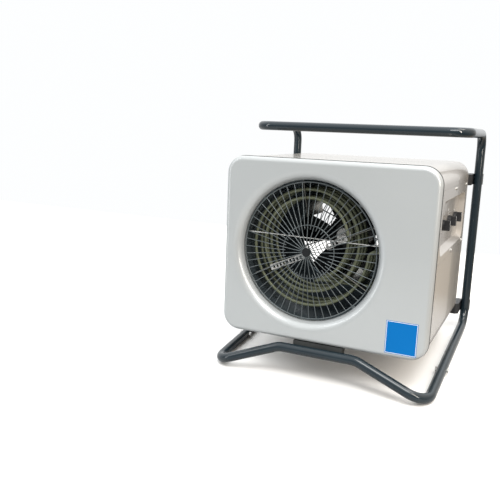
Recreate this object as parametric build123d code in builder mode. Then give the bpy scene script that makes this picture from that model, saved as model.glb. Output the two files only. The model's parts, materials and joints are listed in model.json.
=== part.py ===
from build123d import *
import math
import os

os.makedirs("parts", exist_ok=True)

# ---------------------------------------------------------------------------
# Portable electric forced air heater.
# Millimetres. The floor is Z = 0, +Z is up, -Y is the outlet side, and the
# origin is under the middle of the whole object.
# The housing leans back in its tube frame, so the housing has its own frame:
# x to the right, y from the front panel's face to the back, z up from the
# front panel's lower edge.
# ---------------------------------------------------------------------------

# ---- driving dimensions ---------------------------------------------------
TILT = 6.27            # housing leans back by this angle, degrees
PANEL_FOOT = 99.85     # height of the front panel's lower edge above the floor
SHIFT_Y = -275.42      # puts the origin under the middle of the object

PANEL_W, PANEL_H, PANEL_R = 520.0, 442.0, 42.0   # front panel outline
PANEL_SKIRT = 18.0     # depth of the front panel's rolled skirt
PANEL_EDGE_R = 11.0    # rounding round the front panel's face
SHEET = 1.5            # steel sheet
SHELL_FRONT, SHELL_BACK = 19.0, 460.0            # casing behind the front panel
SHELL_W, SHELL_H, SHELL_R = 516.0, 438.0, 40.0
SEAM_TOP = 389.0       # side seam of the top cover
SEAM_LOW = 218.0       # seam under the control panel
SCREW_Y = (27.0, 240.0, 430.0)                   # seam screws, along the side

FAN_X, FAN_Z = -43.0, 221.0    # axis of outlet, fan and intake
LIP_R, LIP_ROLL = 173.0, 24.0  # outlet bore and the roll of its lip
LIP_END = 29.5
GRILLE_R, GRILLE_RING_Y, GRILLE_HUB_Y = 167.6, 22.0, 7.0
INNER_RING_R = 65.0
SPOKES = 52
SPOKE_D = 2.0

DRUM_R, DRUM_FRONT, DRUM_BACK = 171.5, 30.0, 285.8
SHROUD_R, SHROUD_FRONT, SHROUD_BACK = 118.0, 286.2, 303.0   # nozzle of the fan plate
FAN_RING_R, FAN_RING_BACK = 137.0, 346.0         # ring round the blades
FAN_R, FAN_Y, BLADES = 132.0, 326.0, 5
BLADE_ANGLE = 31.0     # direction of the first blade's middle at rest
INTAKE_R = 178.0
REAR_Y = 452.0         # inner face of the rear panel

TUBE_D = 8.0           # heating element tube
COIL_END_ANGLE = 67.0  # the coil ends this far below the horizontal
COIL_Y = (52.0, 87.0, 122.0)
LEG_Z = 232.0          # height of the legs that enter through the drum wall
RETURN_DY = 22.0       # the return leg runs this far behind its coil
LEG_END = 178.0
PARTITION_X = 150.0

PLATE_X = 258.0        # outer face of the control panel
POCKET_Y, POCKET_Z = 243.0, 298.0
POCKET_L, POCKET_H, POCKET_R, POCKET_D = 370.0, 128.0, 29.0, 13.0
KNOB_Y = (132.0, 232.0, 328.0)
KNOB_Z = 301.0
KNOB_D, KNOB_H = 26.0, 20.0
RESET_Y, RESET_Z = 388.0, 298.0

FRAME_D, FRAME_BORE = 24.0, 20.0     # frame tube, outside and inside
UPRIGHT_X, UPRIGHT_Y = 277.7, 520.2  # uprights, parallel to the housing's back
HANDLE_Y, HANDLE_Z = 211.8, 517.5
FOOT_X, FOOT_Y = 271.5, -23.3        # foot corners; FOOT_Y is along the floor
KINK_X, KINK_Y, KINK_Z = 98.1, -2.0, -22.2
PAD_BOLT_X, PAD_BOLT_Y = 40.0, 42.0
RAIL_BACK_Y = 513.7                  # rear rail corner, along the floor
SPLICE_Y = 181.0                     # joint of the two frame tubes
BOLT_Y = 166.6                       # bolt through the joint
BRACKET_Z = (36.5, 390.0)            # feet of the brackets on the rear panel
ARM_Z = (18.0, 390.0)                # arms of the brackets, and their bolts

# ---- the housing's frame ----------------------------------------------------
T = math.radians(TILT)
HOUSING = Plane(
    origin=(0, SHIFT_Y, PANEL_FOOT),
    x_dir=(1, 0, 0),
    z_dir=(0, math.sin(T), math.cos(T)),
)
BACK = HOUSING.y_dir
UP = HOUSING.z_dir


def pt(x, y, z):
    """A point of the housing's frame."""
    return HOUSING.from_local_coords(Vector(x, y, z))


def front(y, x=0.0, z=0.0):
    """Plane parallel to the front panel, facing forward."""
    return Plane(origin=pt(x, y, z), x_dir=(1, 0, 0), z_dir=BACK * -1)


def side(x, y=0.0, z=0.0):
    """Plane parallel to the housing's sides, facing right."""
    return Plane(origin=pt(x, y, z), x_dir=BACK, z_dir=(1, 0, 0))


def inward(x, y=0.0, z=0.0):
    """Plane parallel to the housing's sides, facing left, into the housing."""
    return Plane(origin=pt(x, y, z), x_dir=BACK, z_dir=(-1, 0, 0))


def level(z, x=0.0, y=0.0):
    """Plane parallel to the housing's floor, facing up."""
    return Plane(origin=pt(x, y, z), x_dir=(1, 0, 0), z_dir=UP)


FAN_AXIS = Axis(pt(FAN_X, 0, FAN_Z), BACK)
DEPTH = Axis(pt(0, 0, 0), BACK)
FAN_SECTION = level(FAN_Z, FAN_X)      # local x is the radius, local y the depth
OVER = 900.0                           # larger than the object

# ---------------------------------------------------------------------------
# Casing
# ---------------------------------------------------------------------------

# Front panel: pressed sheet with a rolled edge and a rolled-in outlet lip.
with BuildPart() as front_panel:
    with BuildSketch(front(0, 0, PANEL_H / 2)):
        RectangleRounded(PANEL_W, PANEL_H, PANEL_R)
    extrude(amount=-PANEL_SKIRT)
    fillet(front_panel.faces().sort_by(DEPTH)[0].edges(), PANEL_EDGE_R)
    offset(amount=-SHEET, openings=front_panel.faces().sort_by(DEPTH)[-1])
    with BuildSketch(front(PANEL_SKIRT - SHEET, 0, PANEL_H / 2)):
        RectangleRounded(PANEL_W - 1, PANEL_H - 1, PANEL_R - 0.5)
        RectangleRounded(PANEL_W - 26, PANEL_H - 26, PANEL_R - 13, mode=Mode.SUBTRACT)
    extrude(amount=-SHEET)
    with BuildSketch(front(-1, FAN_X, FAN_Z)):
        Circle(LIP_R + LIP_ROLL)
    extrude(amount=-(SHEET + 2), mode=Mode.SUBTRACT)
    with BuildSketch(front(PANEL_SKIRT - SHEET - 1, FAN_X, FAN_Z)):
        Circle(LIP_R + 8)
    extrude(amount=-(SHEET + 2), mode=Mode.SUBTRACT)
    with BuildSketch(FAN_SECTION):
        with BuildLine():
            roll = LIP_ROLL
            c = math.cos(math.radians(45))
            a = ThreePointArc(
                (LIP_R + roll, 0),
                (LIP_R + roll * (1 - c), roll * (1 - c)),
                (LIP_R, roll),
            )
            b = Polyline(a @ 1, (LIP_R, LIP_END), (LIP_R + SHEET, LIP_END), (LIP_R + SHEET, roll))
            r2 = roll - SHEET
            d = ThreePointArc(
                b @ 1,
                (LIP_R + roll - r2 * c, roll - r2 * c),
                (LIP_R + roll, SHEET),
            )
            Line(d @ 1, a @ 0)
        make_face()
    revolve(axis=FAN_AXIS)
front_panel.part.label = "front_panel"
export_step(front_panel.part, "parts/front_panel.step")

# Outlet grille: shallow cone of slightly bowed wires. Every second wire runs to
# the hub; the others stop just inside the inner ring, which lies behind the wires.
# The ends butt on the outer ring and the hub, with a weld gap of 0.03 mm.
GRILLE_RISE = GRILLE_RING_Y - GRILLE_HUB_Y
WIRE_BOW = 0.8
GRILLE_RING_D, INNER_RING_D, GRILLE_HUB_R = 3.4, 2.7, 10.4
grille_wires = []
for i in range(SPOKES):
    turn = 5.5 + i * 360 / SPOKES
    turn += 0.64 + 2.95 * math.cos(math.radians(turn - 130))
    ux, uz = math.cos(math.radians(turn)), math.sin(math.radians(turn))
    r0 = INNER_RING_R - 9.0 if i % 2 else GRILLE_HUB_R + 0.13
    r1 = GRILLE_R - GRILLE_RING_D / 2 - 0.03
    ends = []
    for r, bow in ((r0, 0), ((r0 + r1) / 2, WIRE_BOW), (r1, 0)):
        ends.append((FAN_X + r * ux, GRILLE_HUB_Y + GRILLE_RISE * r / GRILLE_R - bow, FAN_Z + r * uz))
    with BuildPart() as grille_wire:
        with BuildLine(HOUSING) as wire:
            ThreePointArc(*ends)
        run = wire.edges()[0]
        with BuildSketch(Plane(origin=run @ 0, z_dir=run % 0)):
            Circle(SPOKE_D / 2)
        sweep(path=run)
    grille_wires.append(grille_wire.part.solids()[0])
with BuildPart() as outlet_grille:
    with BuildSketch(FAN_SECTION):
        with Locations((GRILLE_R, GRILLE_RING_Y)):
            Circle(GRILLE_RING_D / 2)
    revolve(axis=FAN_AXIS)
    for turn in (45, 135, 225, 315):
        ux, uz = math.cos(math.radians(turn)), math.sin(math.radians(turn))
        tab = Plane(
            origin=pt(FAN_X + GRILLE_R * ux, GRILLE_RING_Y - 0.4, FAN_Z + GRILLE_R * uz),
            x_dir=pt(ux, 0, uz) - pt(0, 0, 0),
            z_dir=BACK,
        )
        with BuildSketch(tab):
            with Locations((2.3, 0)):
                Rectangle(5.8, 8)
        extrude(amount=1.6)
    with BuildSketch(FAN_SECTION):
        with Locations((GRILLE_HUB_R / 2, GRILLE_HUB_Y + 0.3)):
            Rectangle(GRILLE_HUB_R, 3.2)
    revolve(axis=FAN_AXIS)
    with BuildSketch(level(FAN_Z, FAN_X + 2.0)):
        with Locations((INNER_RING_R, GRILLE_HUB_Y + GRILLE_RISE * INNER_RING_R / GRILLE_R + 1.0 + INNER_RING_D / 2)):
            Circle(INNER_RING_D / 2)
    revolve(axis=Axis(pt(FAN_X + 2.0, 0, FAN_Z), BACK))
    add(grille_wires)
outlet_grille.part.label = "outlet_grille"
export_step(outlet_grille.part, "parts/outlet_grille.step")

# Top cover: the casing's upper shell, down to the side seams.
with BuildPart() as top_cover:
    with BuildSketch(front(SHELL_FRONT, 0, PANEL_H / 2)):
        RectangleRounded(SHELL_W, SHELL_H, SHELL_R)
        RectangleRounded(SHELL_W - 2 * SHEET, SHELL_H - 2 * SHEET, SHELL_R - SHEET, mode=Mode.SUBTRACT)
        with Locations((0, SEAM_TOP - PANEL_H / 2 + OVER / 2)):
            Rectangle(OVER, OVER, mode=Mode.INTERSECT)
    extrude(amount=-(SHELL_BACK - SHELL_FRONT))
    with BuildSketch(front(SHELL_FRONT, 0, PANEL_H / 2)):
        RectangleRounded(SHELL_W - 1, SHELL_H - 1, SHELL_R - 0.5)
        RectangleRounded(SHELL_W - 20, SHELL_H - 20, SHELL_R - 10, mode=Mode.SUBTRACT)
        with Locations((0, SEAM_TOP - PANEL_H / 2 + OVER / 2)):
            Rectangle(OVER, OVER, mode=Mode.INTERSECT)
    extrude(amount=-SHEET)
    # lips behind the side seams, which take the seam screws
    for sx in (-1, 1):
        with BuildSketch(front(SHELL_FRONT + 4)):
            with Locations((sx * (SHELL_W / 2 - SHEET - 0.75), SEAM_TOP - 1.5)):
                Rectangle(1.5, 25)
        extrude(amount=-(SHELL_BACK - SHELL_FRONT - 26))
    with BuildSketch(side(-SHELL_W / 2 - 1)):
        with Locations(*[(y, SEAM_TOP - 8.5) for y in SCREW_Y]):
            Circle(2.1)
    extrude(amount=SHELL_W + 2, mode=Mode.SUBTRACT)
top_cover.part.label = "top_cover"
export_step(top_cover.part, "parts/top_cover.step")

# Base shell: bottom, left side and lower right side in one bent sheet.
with BuildPart() as base_shell:
    with BuildSketch(front(SHELL_FRONT, 0, PANEL_H / 2)):
        RectangleRounded(SHELL_W, SHELL_H, SHELL_R)
        RectangleRounded(SHELL_W - 2 * SHEET, SHELL_H - 2 * SHEET, SHELL_R - SHEET, mode=Mode.SUBTRACT)
        with Locations((0, SEAM_TOP - 0.6 - PANEL_H / 2 + OVER / 2)):
            Rectangle(OVER, OVER, mode=Mode.SUBTRACT)
        with Locations((OVER / 2 + 200, SEAM_LOW - PANEL_H / 2 + OVER / 2)):
            Rectangle(OVER, OVER, mode=Mode.SUBTRACT)
    extrude(amount=-(SHELL_BACK - SHELL_FRONT))
    with BuildSketch(front(SHELL_FRONT, 0, PANEL_H / 2)):
        RectangleRounded(SHELL_W - 1, SHELL_H - 1, SHELL_R - 0.5)
        RectangleRounded(SHELL_W - 20, SHELL_H - 20, SHELL_R - 10, mode=Mode.SUBTRACT)
        with Locations((0, SEAM_TOP - 16 - PANEL_H / 2 + OVER / 2)):
            Rectangle(OVER, OVER, mode=Mode.SUBTRACT)
        with Locations((OVER / 2 + 200, SEAM_LOW - PANEL_H / 2 + OVER / 2)):
            Rectangle(OVER, OVER, mode=Mode.SUBTRACT)
    extrude(amount=-SHEET)
    # lip behind the lower seam of the control panel
    with BuildSketch(front(SHELL_FRONT + 4)):
        with Locations((SHELL_W / 2 - SHEET - 0.75, SEAM_LOW - 0.5)):
            Rectangle(1.5, 25)
    extrude(amount=-(SHELL_BACK - SHELL_FRONT - 26))
    # holes for the seam screws and for the front pad's bolts
    with BuildSketch(side(-SHELL_W / 2 - 1)):
        with Locations(*[(y, SEAM_TOP - 8.5) for y in SCREW_Y]):
            Circle(2.3)
    extrude(amount=6, mode=Mode.SUBTRACT)
    with BuildSketch(side(SHELL_W / 2 - 6)):
        with Locations(*[(y, SEAM_LOW + 7.5) for y in SCREW_Y]):
            Circle(2.1)
    extrude(amount=8, mode=Mode.SUBTRACT)
    with BuildSketch(level(0, 0, PAD_BOLT_Y)):
        with Locations((-PAD_BOLT_X, 0), (PAD_BOLT_X, 0)):
            Circle(3.3)
    extrude(amount=8, mode=Mode.SUBTRACT)
base_shell.part.label = "base_shell"
export_step(base_shell.part, "parts/base_shell.step")

# Control panel: right-hand plate with a drawn pocket for the knobs.
PLATE_Y0, PLATE_Y1 = SHELL_FRONT + 0.2, SHELL_BACK
PLATE_Z0, PLATE_Z1 = SEAM_LOW + 0.6, SEAM_TOP - 0.6
SIDE_SCREWS = [(y, z) for z in (SEAM_LOW + 7.5, SEAM_TOP - 8.5) for y in SCREW_Y]
with BuildPart() as control_panel:
    with BuildSketch(inward(PLATE_X, (PLATE_Y0 + PLATE_Y1) / 2, (PLATE_Z0 + PLATE_Z1) / 2)):
        Rectangle(PLATE_Y1 - PLATE_Y0, PLATE_Z1 - PLATE_Z0)
    extrude(amount=SHEET)
    back = POCKET_D + SHEET
    with BuildSketch(inward(PLATE_X, POCKET_Y, POCKET_Z)):
        RectangleRounded(POCKET_L + 4.2, POCKET_H + 4.2, POCKET_R + 2.1)
    with BuildSketch(inward(PLATE_X - back, POCKET_Y, POCKET_Z)):
        RectangleRounded(POCKET_L + 4.2 - 2 * back, POCKET_H + 4.2 - 2 * back, POCKET_R + 2.1 - back)
    loft()
    with BuildSketch(inward(PLATE_X, POCKET_Y, POCKET_Z)):
        RectangleRounded(POCKET_L, POCKET_H, POCKET_R)
    with BuildSketch(inward(PLATE_X - POCKET_D, POCKET_Y, POCKET_Z)):
        RectangleRounded(POCKET_L - 2 * POCKET_D, POCKET_H - 2 * POCKET_D, POCKET_R - POCKET_D)
    loft(mode=Mode.SUBTRACT)
    with BuildSketch(side(PLATE_X + 1)):
        with Locations(*[(y, KNOB_Z) for y in KNOB_Y]):
            Circle(5.2)
        with Locations((RESET_Y, RESET_Z)):
            Circle(5.1)
        with Locations(*SIDE_SCREWS):
            Circle(2.3)
    extrude(amount=-30, mode=Mode.SUBTRACT)
control_panel.part.label = "control_panel"
export_step(control_panel.part, "parts/control_panel.step")

# Rear panel: shallow tray with the round intake and the cable entry.
GLAND_X, GLAND_Z = 200.0, 62.0
REAR_SCREWS = [(-236, 130), (-236, 310), (-120, 427), (60, 427), (-120, 15), (60, 15), (170, 427), (170, 15)]
with BuildPart() as rear_panel:
    with BuildSketch(front(REAR_Y, 0, PANEL_H / 2)):
        RectangleRounded(512, 434, 38)
    extrude(amount=-SHEET)
    with BuildSketch(front(REAR_Y, 0, PANEL_H / 2)):
        RectangleRounded(512, 434, 38)
        RectangleRounded(509, 431, 36.5, mode=Mode.SUBTRACT)
    extrude(amount=14)
    with BuildSketch(front(REAR_Y - 1, FAN_X, FAN_Z)):
        Circle(INTAKE_R)
    extrude(amount=-4, mode=Mode.SUBTRACT)
    with BuildSketch(front(REAR_Y - 1)):
        with Locations((GLAND_X, GLAND_Z)):
            Circle(10.2)
        with Locations(*REAR_SCREWS):
            Circle(2.3)
        with Locations(*[(sx * 235, z + dz) for sx in (-1, 1) for z in BRACKET_Z for dz in (-9, 9)]):
            Circle(2.3)
        # vent slots of the electrical compartment
        with Locations(*[(200, z) for z in (150, 168, 186, 204, 222, 240, 258)]):
            SlotOverall(62, 6)
    extrude(amount=-4, mode=Mode.SUBTRACT)
rear_panel.part.label = "rear_panel"
export_step(rear_panel.part, "parts/rear_panel.step")

# Rear guard: wire rings on radial wires, over the intake.
with BuildPart() as rear_guard:
    with BuildSketch(FAN_SECTION):
        with Locations(*[(26 + 12.4 * k, REAR_Y + 9.2) for k in range(12)]):
            Circle(1.4)
        with Locations((INTAKE_R - 4.6, REAR_Y + 8.0)):
            Circle(2.6)
        with Locations((7, REAR_Y + 9.2)):
            Rectangle(14, 2.4)
    revolve(axis=FAN_AXIS)
    for i in range(8):
        turn = math.radians(22.5 + 45 * i)
        ux, uz = math.cos(turn), math.sin(turn)
        y = REAR_Y + 6.8
        with BuildLine(HOUSING) as wire:
            Line((FAN_X + 10 * ux, y, FAN_Z + 10 * uz), (FAN_X + 186 * ux, y, FAN_Z + 186 * uz))
        run = wire.edges()[0]
        with BuildSketch(Plane(origin=run @ 0, z_dir=run % 0)):
            Circle(1.9)
        sweep(path=run)
    # the radial wires' ends sit on small feet, spot welded to the rear panel
    for i in range(8):
        turn = math.radians(22.5 + 45 * i)
        with BuildSketch(front(REAR_Y + SHEET + 0.05, FAN_X, FAN_Z)):
            with Locations((183 * math.cos(turn), 183 * math.sin(turn))):
                Circle(4.5)
        extrude(amount=-5.2)
rear_guard.part.label = "rear_guard"
export_step(rear_guard.part, "parts/rear_guard.step")

# ---------------------------------------------------------------------------
# Air path: drum, elements, shroud, partition
# ---------------------------------------------------------------------------


def coil_points(y):
    """Corner and middle points of one element's first bend, in the housing's frame."""
    r0, x0, z0 = 149.3, -50.3, 229.5
    rho = 15.0
    dz = LEG_Z - rho - z0
    xs = x0 + math.sqrt((r0 + rho) ** 2 - dz ** 2)
    k = r0 / (r0 + rho)
    touch = (x0 + k * (xs - x0), z0 + k * dz)
    a1 = math.degrees(math.atan2(touch[1] - (LEG_Z - rho), touch[0] - xs))
    am = math.radians((90 + a1) / 2)
    bend = (xs + rho * math.cos(am), LEG_Z - rho + rho * math.sin(am))
    return xs, touch, bend


# Each turn is made of quarter arcs that shrink inwards, clockwise from the right:
# centre x, centre z, radius, direction of the arc's end.
COIL_ARCS = (
    (-50.3, 226.1, 145.9, 180), (-53.7, 226.1, 142.5, 90), (-53.7, 241.6, 127.0, 0),
    (-52.3, 241.6, 125.6, -90), (-52.3, 232.9, 116.9, 180), (-54.2, 232.9, 115.0, 90),
    (-54.2, 247.7, 100.2, 0),
)
COIL_LAST = (-62.0, 247.7, 108.0)      # last arc, down to the end of the coil


def coil_end():
    """End of the last arc and the corner of the inward bend after it."""
    cx, cz, r = COIL_LAST
    a = math.radians(COIL_END_ANGLE)
    end = (cx + r * math.cos(a), cz - r * math.sin(a))
    return end, (end[0] - 14 * math.sin(a), end[1] - 14 * math.cos(a))


def coil_path(y):
    """Draw one element's path inside a line builder on the housing's frame."""
    xs, touch, bend = coil_points(y)
    Line((LEG_END, y, LEG_Z), (xs, y, LEG_Z))
    ThreePointArc((xs, y, LEG_Z), (bend[0], y, bend[1]), (touch[0], y, touch[1]))
    start_angle = math.atan2(touch[1] - 229.5, touch[0] + 50.3)
    mid = (start_angle - math.radians(90)) / 2
    low = (-50.3, y, 80.2)
    ThreePointArc((touch[0], y, touch[1]), (-50.3 + 149.3 * math.cos(mid), y, 229.5 + 149.3 * math.sin(mid)), low)
    last = low
    for cx, cz, r, to in COIL_ARCS:
        m = math.radians(to + 45)
        e = math.radians(to)
        end = (cx + r * math.cos(e), y, cz + r * math.sin(e))
        ThreePointArc(last, (cx + r * math.cos(m), y, cz + r * math.sin(m)), end)
        last = end
    cx, cz, r = COIL_LAST
    h = math.radians(COIL_END_ANGLE / 2)
    stop, corner = coil_end()
    end = (stop[0], y, stop[1])
    ThreePointArc(last, (cx + r * math.cos(h), y, cz - r * math.sin(h)), end)
    FilletPolyline(end, (corner[0], y, corner[1]), (corner[0], y + RETURN_DY, corner[1]), (LEG_END, y + RETURN_DY, corner[1]), radius=10)


RETURN_Z = coil_end()[1][1]
LEG_HOLES = [(y, LEG_Z) for y in COIL_Y] + [(y + RETURN_DY, RETURN_Z) for y in COIL_Y]
ROD_Y, ROD_LEFT_Z, ROD_RIGHT_Z = 34.0, 253.6, 249.4

# Three tubular heating elements, each a two-turn coil with both legs leaving
# through the drum's right wall into the electrical compartment.
with BuildPart() as front_heating_element:
    with BuildLine(HOUSING) as path:
        coil_path(COIL_Y[0])
    with BuildSketch(side(LEG_END, COIL_Y[0], LEG_Z)):
        Circle(TUBE_D / 2)
    sweep(path=path.wires()[0])
    with BuildSketch(side(LEG_END - 1, COIL_Y[0], LEG_Z), side(LEG_END - 1, COIL_Y[0] + RETURN_DY, RETURN_Z)):
        Circle(2.0)
    extrude(amount=15)
front_heating_element.part.label = "front_heating_element"
export_step(front_heating_element.part, "parts/front_heating_element.step")

with BuildPart() as middle_heating_element:
    with BuildLine(HOUSING) as path:
        coil_path(COIL_Y[1])
    with BuildSketch(side(LEG_END, COIL_Y[1], LEG_Z)):
        Circle(TUBE_D / 2)
    sweep(path=path.wires()[0])
    with BuildSketch(side(LEG_END - 1, COIL_Y[1], LEG_Z), side(LEG_END - 1, COIL_Y[1] + RETURN_DY, RETURN_Z)):
        Circle(2.0)
    extrude(amount=15)
middle_heating_element.part.label = "middle_heating_element"
export_step(middle_heating_element.part, "parts/middle_heating_element.step")

with BuildPart() as rear_heating_element:
    with BuildLine(HOUSING) as path:
        coil_path(COIL_Y[2])
    with BuildSketch(side(LEG_END, COIL_Y[2], LEG_Z)):
        Circle(TUBE_D / 2)
    sweep(path=path.wires()[0])
    with BuildSketch(side(LEG_END - 1, COIL_Y[2], LEG_Z), side(LEG_END - 1, COIL_Y[2] + RETURN_DY, RETURN_Z)):
        Circle(2.0)
    extrude(amount=15)
rear_heating_element.part.label = "rear_heating_element"
export_step(rear_heating_element.part, "parts/rear_heating_element.step")

# Heat drum: inner cylinder that guides the air over the elements.
with BuildPart() as heat_drum:
    with BuildSketch(front(DRUM_FRONT, FAN_X, FAN_Z)):
        Circle(DRUM_R + 1.2)
        Circle(DRUM_R, mode=Mode.SUBTRACT)
    extrude(amount=-(DRUM_BACK - DRUM_FRONT))
    with BuildSketch(side(80)):
        with Locations(*LEG_HOLES):
            Circle(TUBE_D / 2 + 0.8)
        with Locations((ROD_Y, 250.0)):
            Circle(2.6)
    extrude(amount=90, mode=Mode.SUBTRACT)
    with BuildSketch(side(-180, ROD_Y, 253.4)):
        Circle(2.8)
    extrude(amount=-60, mode=Mode.SUBTRACT)
heat_drum.part.label = "heat_drum"
export_step(heat_drum.part, "parts/heat_drum.step")

# Fan shroud: mounting plate with a nozzle, and behind it the ring round the fan.
with BuildPart() as fan_shroud:
    with BuildSketch(front(SHROUD_FRONT, 0, PANEL_H / 2)):
        RectangleRounded(509, 433, 37.5)
        with Locations((OVER / 2 + PARTITION_X - 0.5, 0)):
            Rectangle(OVER, OVER, mode=Mode.SUBTRACT)
        with Locations((FAN_X, FAN_Z - PANEL_H / 2)):
            Circle(SHROUD_R + 12.1, mode=Mode.SUBTRACT)
    extrude(amount=-SHEET)
    with BuildSketch(FAN_SECTION):
        with BuildLine():
            q = math.cos(math.radians(45))
            bx, by = SHROUD_R + 12.1, SHROUD_FRONT + 12.1
            a = ThreePointArc((bx, SHROUD_FRONT), (bx - 12.1 * q, by - 12.1 * q), (SHROUD_R, by))
            b = Polyline(a @ 1, (SHROUD_R, SHROUD_BACK), (SHROUD_R + SHEET, SHROUD_BACK), (SHROUD_R + SHEET, by))
            d = ThreePointArc(b @ 1, (bx - 10.6 * q, by - 10.6 * q), (bx, SHROUD_FRONT + SHEET))
            Line(d @ 1, a @ 0)
        make_face()
    revolve(axis=FAN_AXIS)
    with BuildSketch(front(SHROUD_FRONT + SHEET / 2, FAN_X, FAN_Z)):
        Circle(FAN_RING_R + SHEET)
        Circle(FAN_RING_R, mode=Mode.SUBTRACT)
    extrude(amount=-(FAN_RING_BACK - SHROUD_FRONT - SHEET / 2))
fan_shroud.part.label = "fan_shroud"
export_step(fan_shroud.part, "parts/fan_shroud.step")

# Partition between the air path and the electrical compartment.
with BuildPart() as partition_plate:
    with BuildSketch(side(PARTITION_X, 235, PANEL_H / 2)):
        Rectangle(404, 432)
    extrude(amount=1.2)
    with BuildSketch(side(PARTITION_X - 1)):
        with Locations(*LEG_HOLES):
            Circle(TUBE_D / 2 + 0.4)
        with Locations((ROD_Y + 8, 249.8)):
            SlotOverall(26, 6)
    extrude(amount=4, mode=Mode.SUBTRACT)
    with BuildSketch(level(4.2, PARTITION_X + 7, 235)):
        Rectangle(14, 404)
    extrude(amount=1.2)
partition_plate.part.label = "partition_plate"
export_step(partition_plate.part, "parts/partition_plate.step")

# Perforated strips that steady the front coil: a long one to the left of the
# axis and a short one to the right of it, riveted to the comb plates.
STRIP_Y = 37.0
STRIPS = (((-146.0, 165.5), (-59.0, 205.2)), ((-3.5, 233.4), (46.0, 262.0)))
with BuildPart() as element_support_strips:
    for (xa, za), (xb, zb) in STRIPS:
        length = math.hypot(xb - xa, zb - za)
        along = pt((xb - xa) / length, 0, (zb - za) / length) - pt(0, 0, 0)
        middle = pt((xa + xb) / 2, STRIP_Y, (za + zb) / 2)
        holes = int((length - 6) // 9.5)
        with BuildSketch(Plane(origin=middle, x_dir=along, z_dir=BACK * -1)):
            Rectangle(length, 14)
            with Locations(*[((k - (holes - 1) / 2) * 9.5, 0) for k in range(holes)]):
                Rectangle(5.5, 9, mode=Mode.SUBTRACT)
        extrude(amount=-1.6)
        with BuildSketch(Plane(origin=middle, x_dir=along, z_dir=BACK * -1)):
            with Locations((0, -6.4)):
                Rectangle(length, 1.2)
        extrude(amount=-5)
    # a tongue on the short strip's upper edge
    with BuildSketch(Plane(origin=middle, x_dir=along, z_dir=BACK * -1)):
        with Locations((10, 9.5)):
            Rectangle(6, 7)
    extrude(amount=-1.6)
element_support_strips.part.label = "element_support_strips"
export_step(element_support_strips.part, "parts/element_support_strips.step")

# Comb plates: four notched radial plates that hold the coils in the drum.
COMB_TURNS = (24.6, 100.0, 207.0, 330.0)
with BuildPart() as element_comb_plates:
    for turn in COMB_TURNS:
        a = math.radians(turn)
        out = pt(math.cos(a), 0, math.sin(a)) - pt(0, 0, 0)
        with BuildSketch(Plane(origin=pt(FAN_X, 0, FAN_Z), x_dir=out, z_dir=out.cross(BACK))):
            with Locations(((82 + DRUM_R - 0.2) / 2, (42.4 + 156) / 2)):
                Rectangle(DRUM_R - 0.2 - 82, 156 - 42.4)
        extrude(amount=0.8, both=True)
    # the tubes pass through clearance holes
    for y in COIL_Y:
        with BuildLine(HOUSING) as path:
            coil_path(y)
        with BuildSketch(side(LEG_END, y, LEG_Z)):
            Circle(TUBE_D / 2 + 0.15)
        sweep(path=path.wires()[0], mode=Mode.SUBTRACT)
element_comb_plates.part.label = "element_comb_plates"
export_step(element_comb_plates.part, "parts/element_comb_plates.step")

# Overheat sensor: thin straight tube across the outlet, behind the grille,
# with a thicker bulb near its left end.
rod_start, rod_end = pt(-224, ROD_Y, ROD_LEFT_Z), pt(184, ROD_Y, ROD_RIGHT_Z)
with BuildPart() as overheat_sensor_tube:
    with BuildSketch(Plane(origin=rod_start, z_dir=rod_end - rod_start)):
        Circle(1.5)
    extrude(amount=(rod_end - rod_start).length)
    with BuildSketch(Plane(origin=rod_start + (rod_end - rod_start) * 0.045, z_dir=rod_end - rod_start)):
        Circle(2.1)
    extrude(amount=30)
overheat_sensor_tube.part.label = "overheat_sensor_tube"
export_step(overheat_sensor_tube.part, "parts/overheat_sensor_tube.step")

# ---------------------------------------------------------------------------
# Fan and motor
# ---------------------------------------------------------------------------

MOTOR_R = 56.0
MOTOR_FRONT, MOTOR_BACK = 358.0, 430.0
SHAFT_R = 6.0

# Pressed fan wheel: five wide cambered blades on a centre disc.
with BuildPart() as fan_wheel:
    for i in range(BLADES):
        a = math.radians(BLADE_ANGLE + i * 360 / BLADES)
        out = pt(math.cos(a), 0, math.sin(a)) - pt(0, 0, 0)
        tang = pt(-math.sin(a), 0, math.cos(a)) - pt(0, 0, 0)
        for r, chord, pitch, camber in ((28, 35, 42, 2.5), (62, 71, 32, 5.0), (137, 98, 20, 7.0)):
            ca, sa = math.cos(math.radians(-pitch)), math.sin(math.radians(-pitch))
            station = Plane(
                origin=pt(FAN_X, FAN_Y, FAN_Z) + out * r,
                x_dir=tang,
                z_dir=out,
            )
            h = chord / 2
            th = 1.8

            def sp(u, v):
                return (u * ca - v * sa, u * sa + v * ca)

            with BuildSketch(station):
                with BuildLine():
                    l1 = ThreePointArc(sp(-h, 0), sp(0, camber), sp(h, 0))
                    l2 = Line(l1 @ 1, sp(h, th))
                    l3 = ThreePointArc(l2 @ 1, sp(0, camber + th), sp(-h, th))
                    Line(l3 @ 1, l1 @ 0)
                make_face()
        loft()
    with BuildSketch(front(FAN_Y - 60, FAN_X, FAN_Z)):
        Circle(FAN_R)
    extrude(amount=-120, mode=Mode.INTERSECT)
    with BuildSketch(front(FAN_Y - 1.5, FAN_X, FAN_Z)):
        Circle(34.5)
    extrude(amount=-3)
    with BuildSketch(front(FAN_Y - 60, FAN_X, FAN_Z)):
        Circle(24.1)
    extrude(amount=-120, mode=Mode.SUBTRACT)
    with BuildSketch(front(FAN_Y + 1.6, FAN_X, FAN_Z)):
        Circle(29.2)
    extrude(amount=-40, mode=Mode.SUBTRACT)
fan_wheel.part.label = "fan_wheel"
export_step(fan_wheel.part, "parts/fan_wheel.step")

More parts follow.
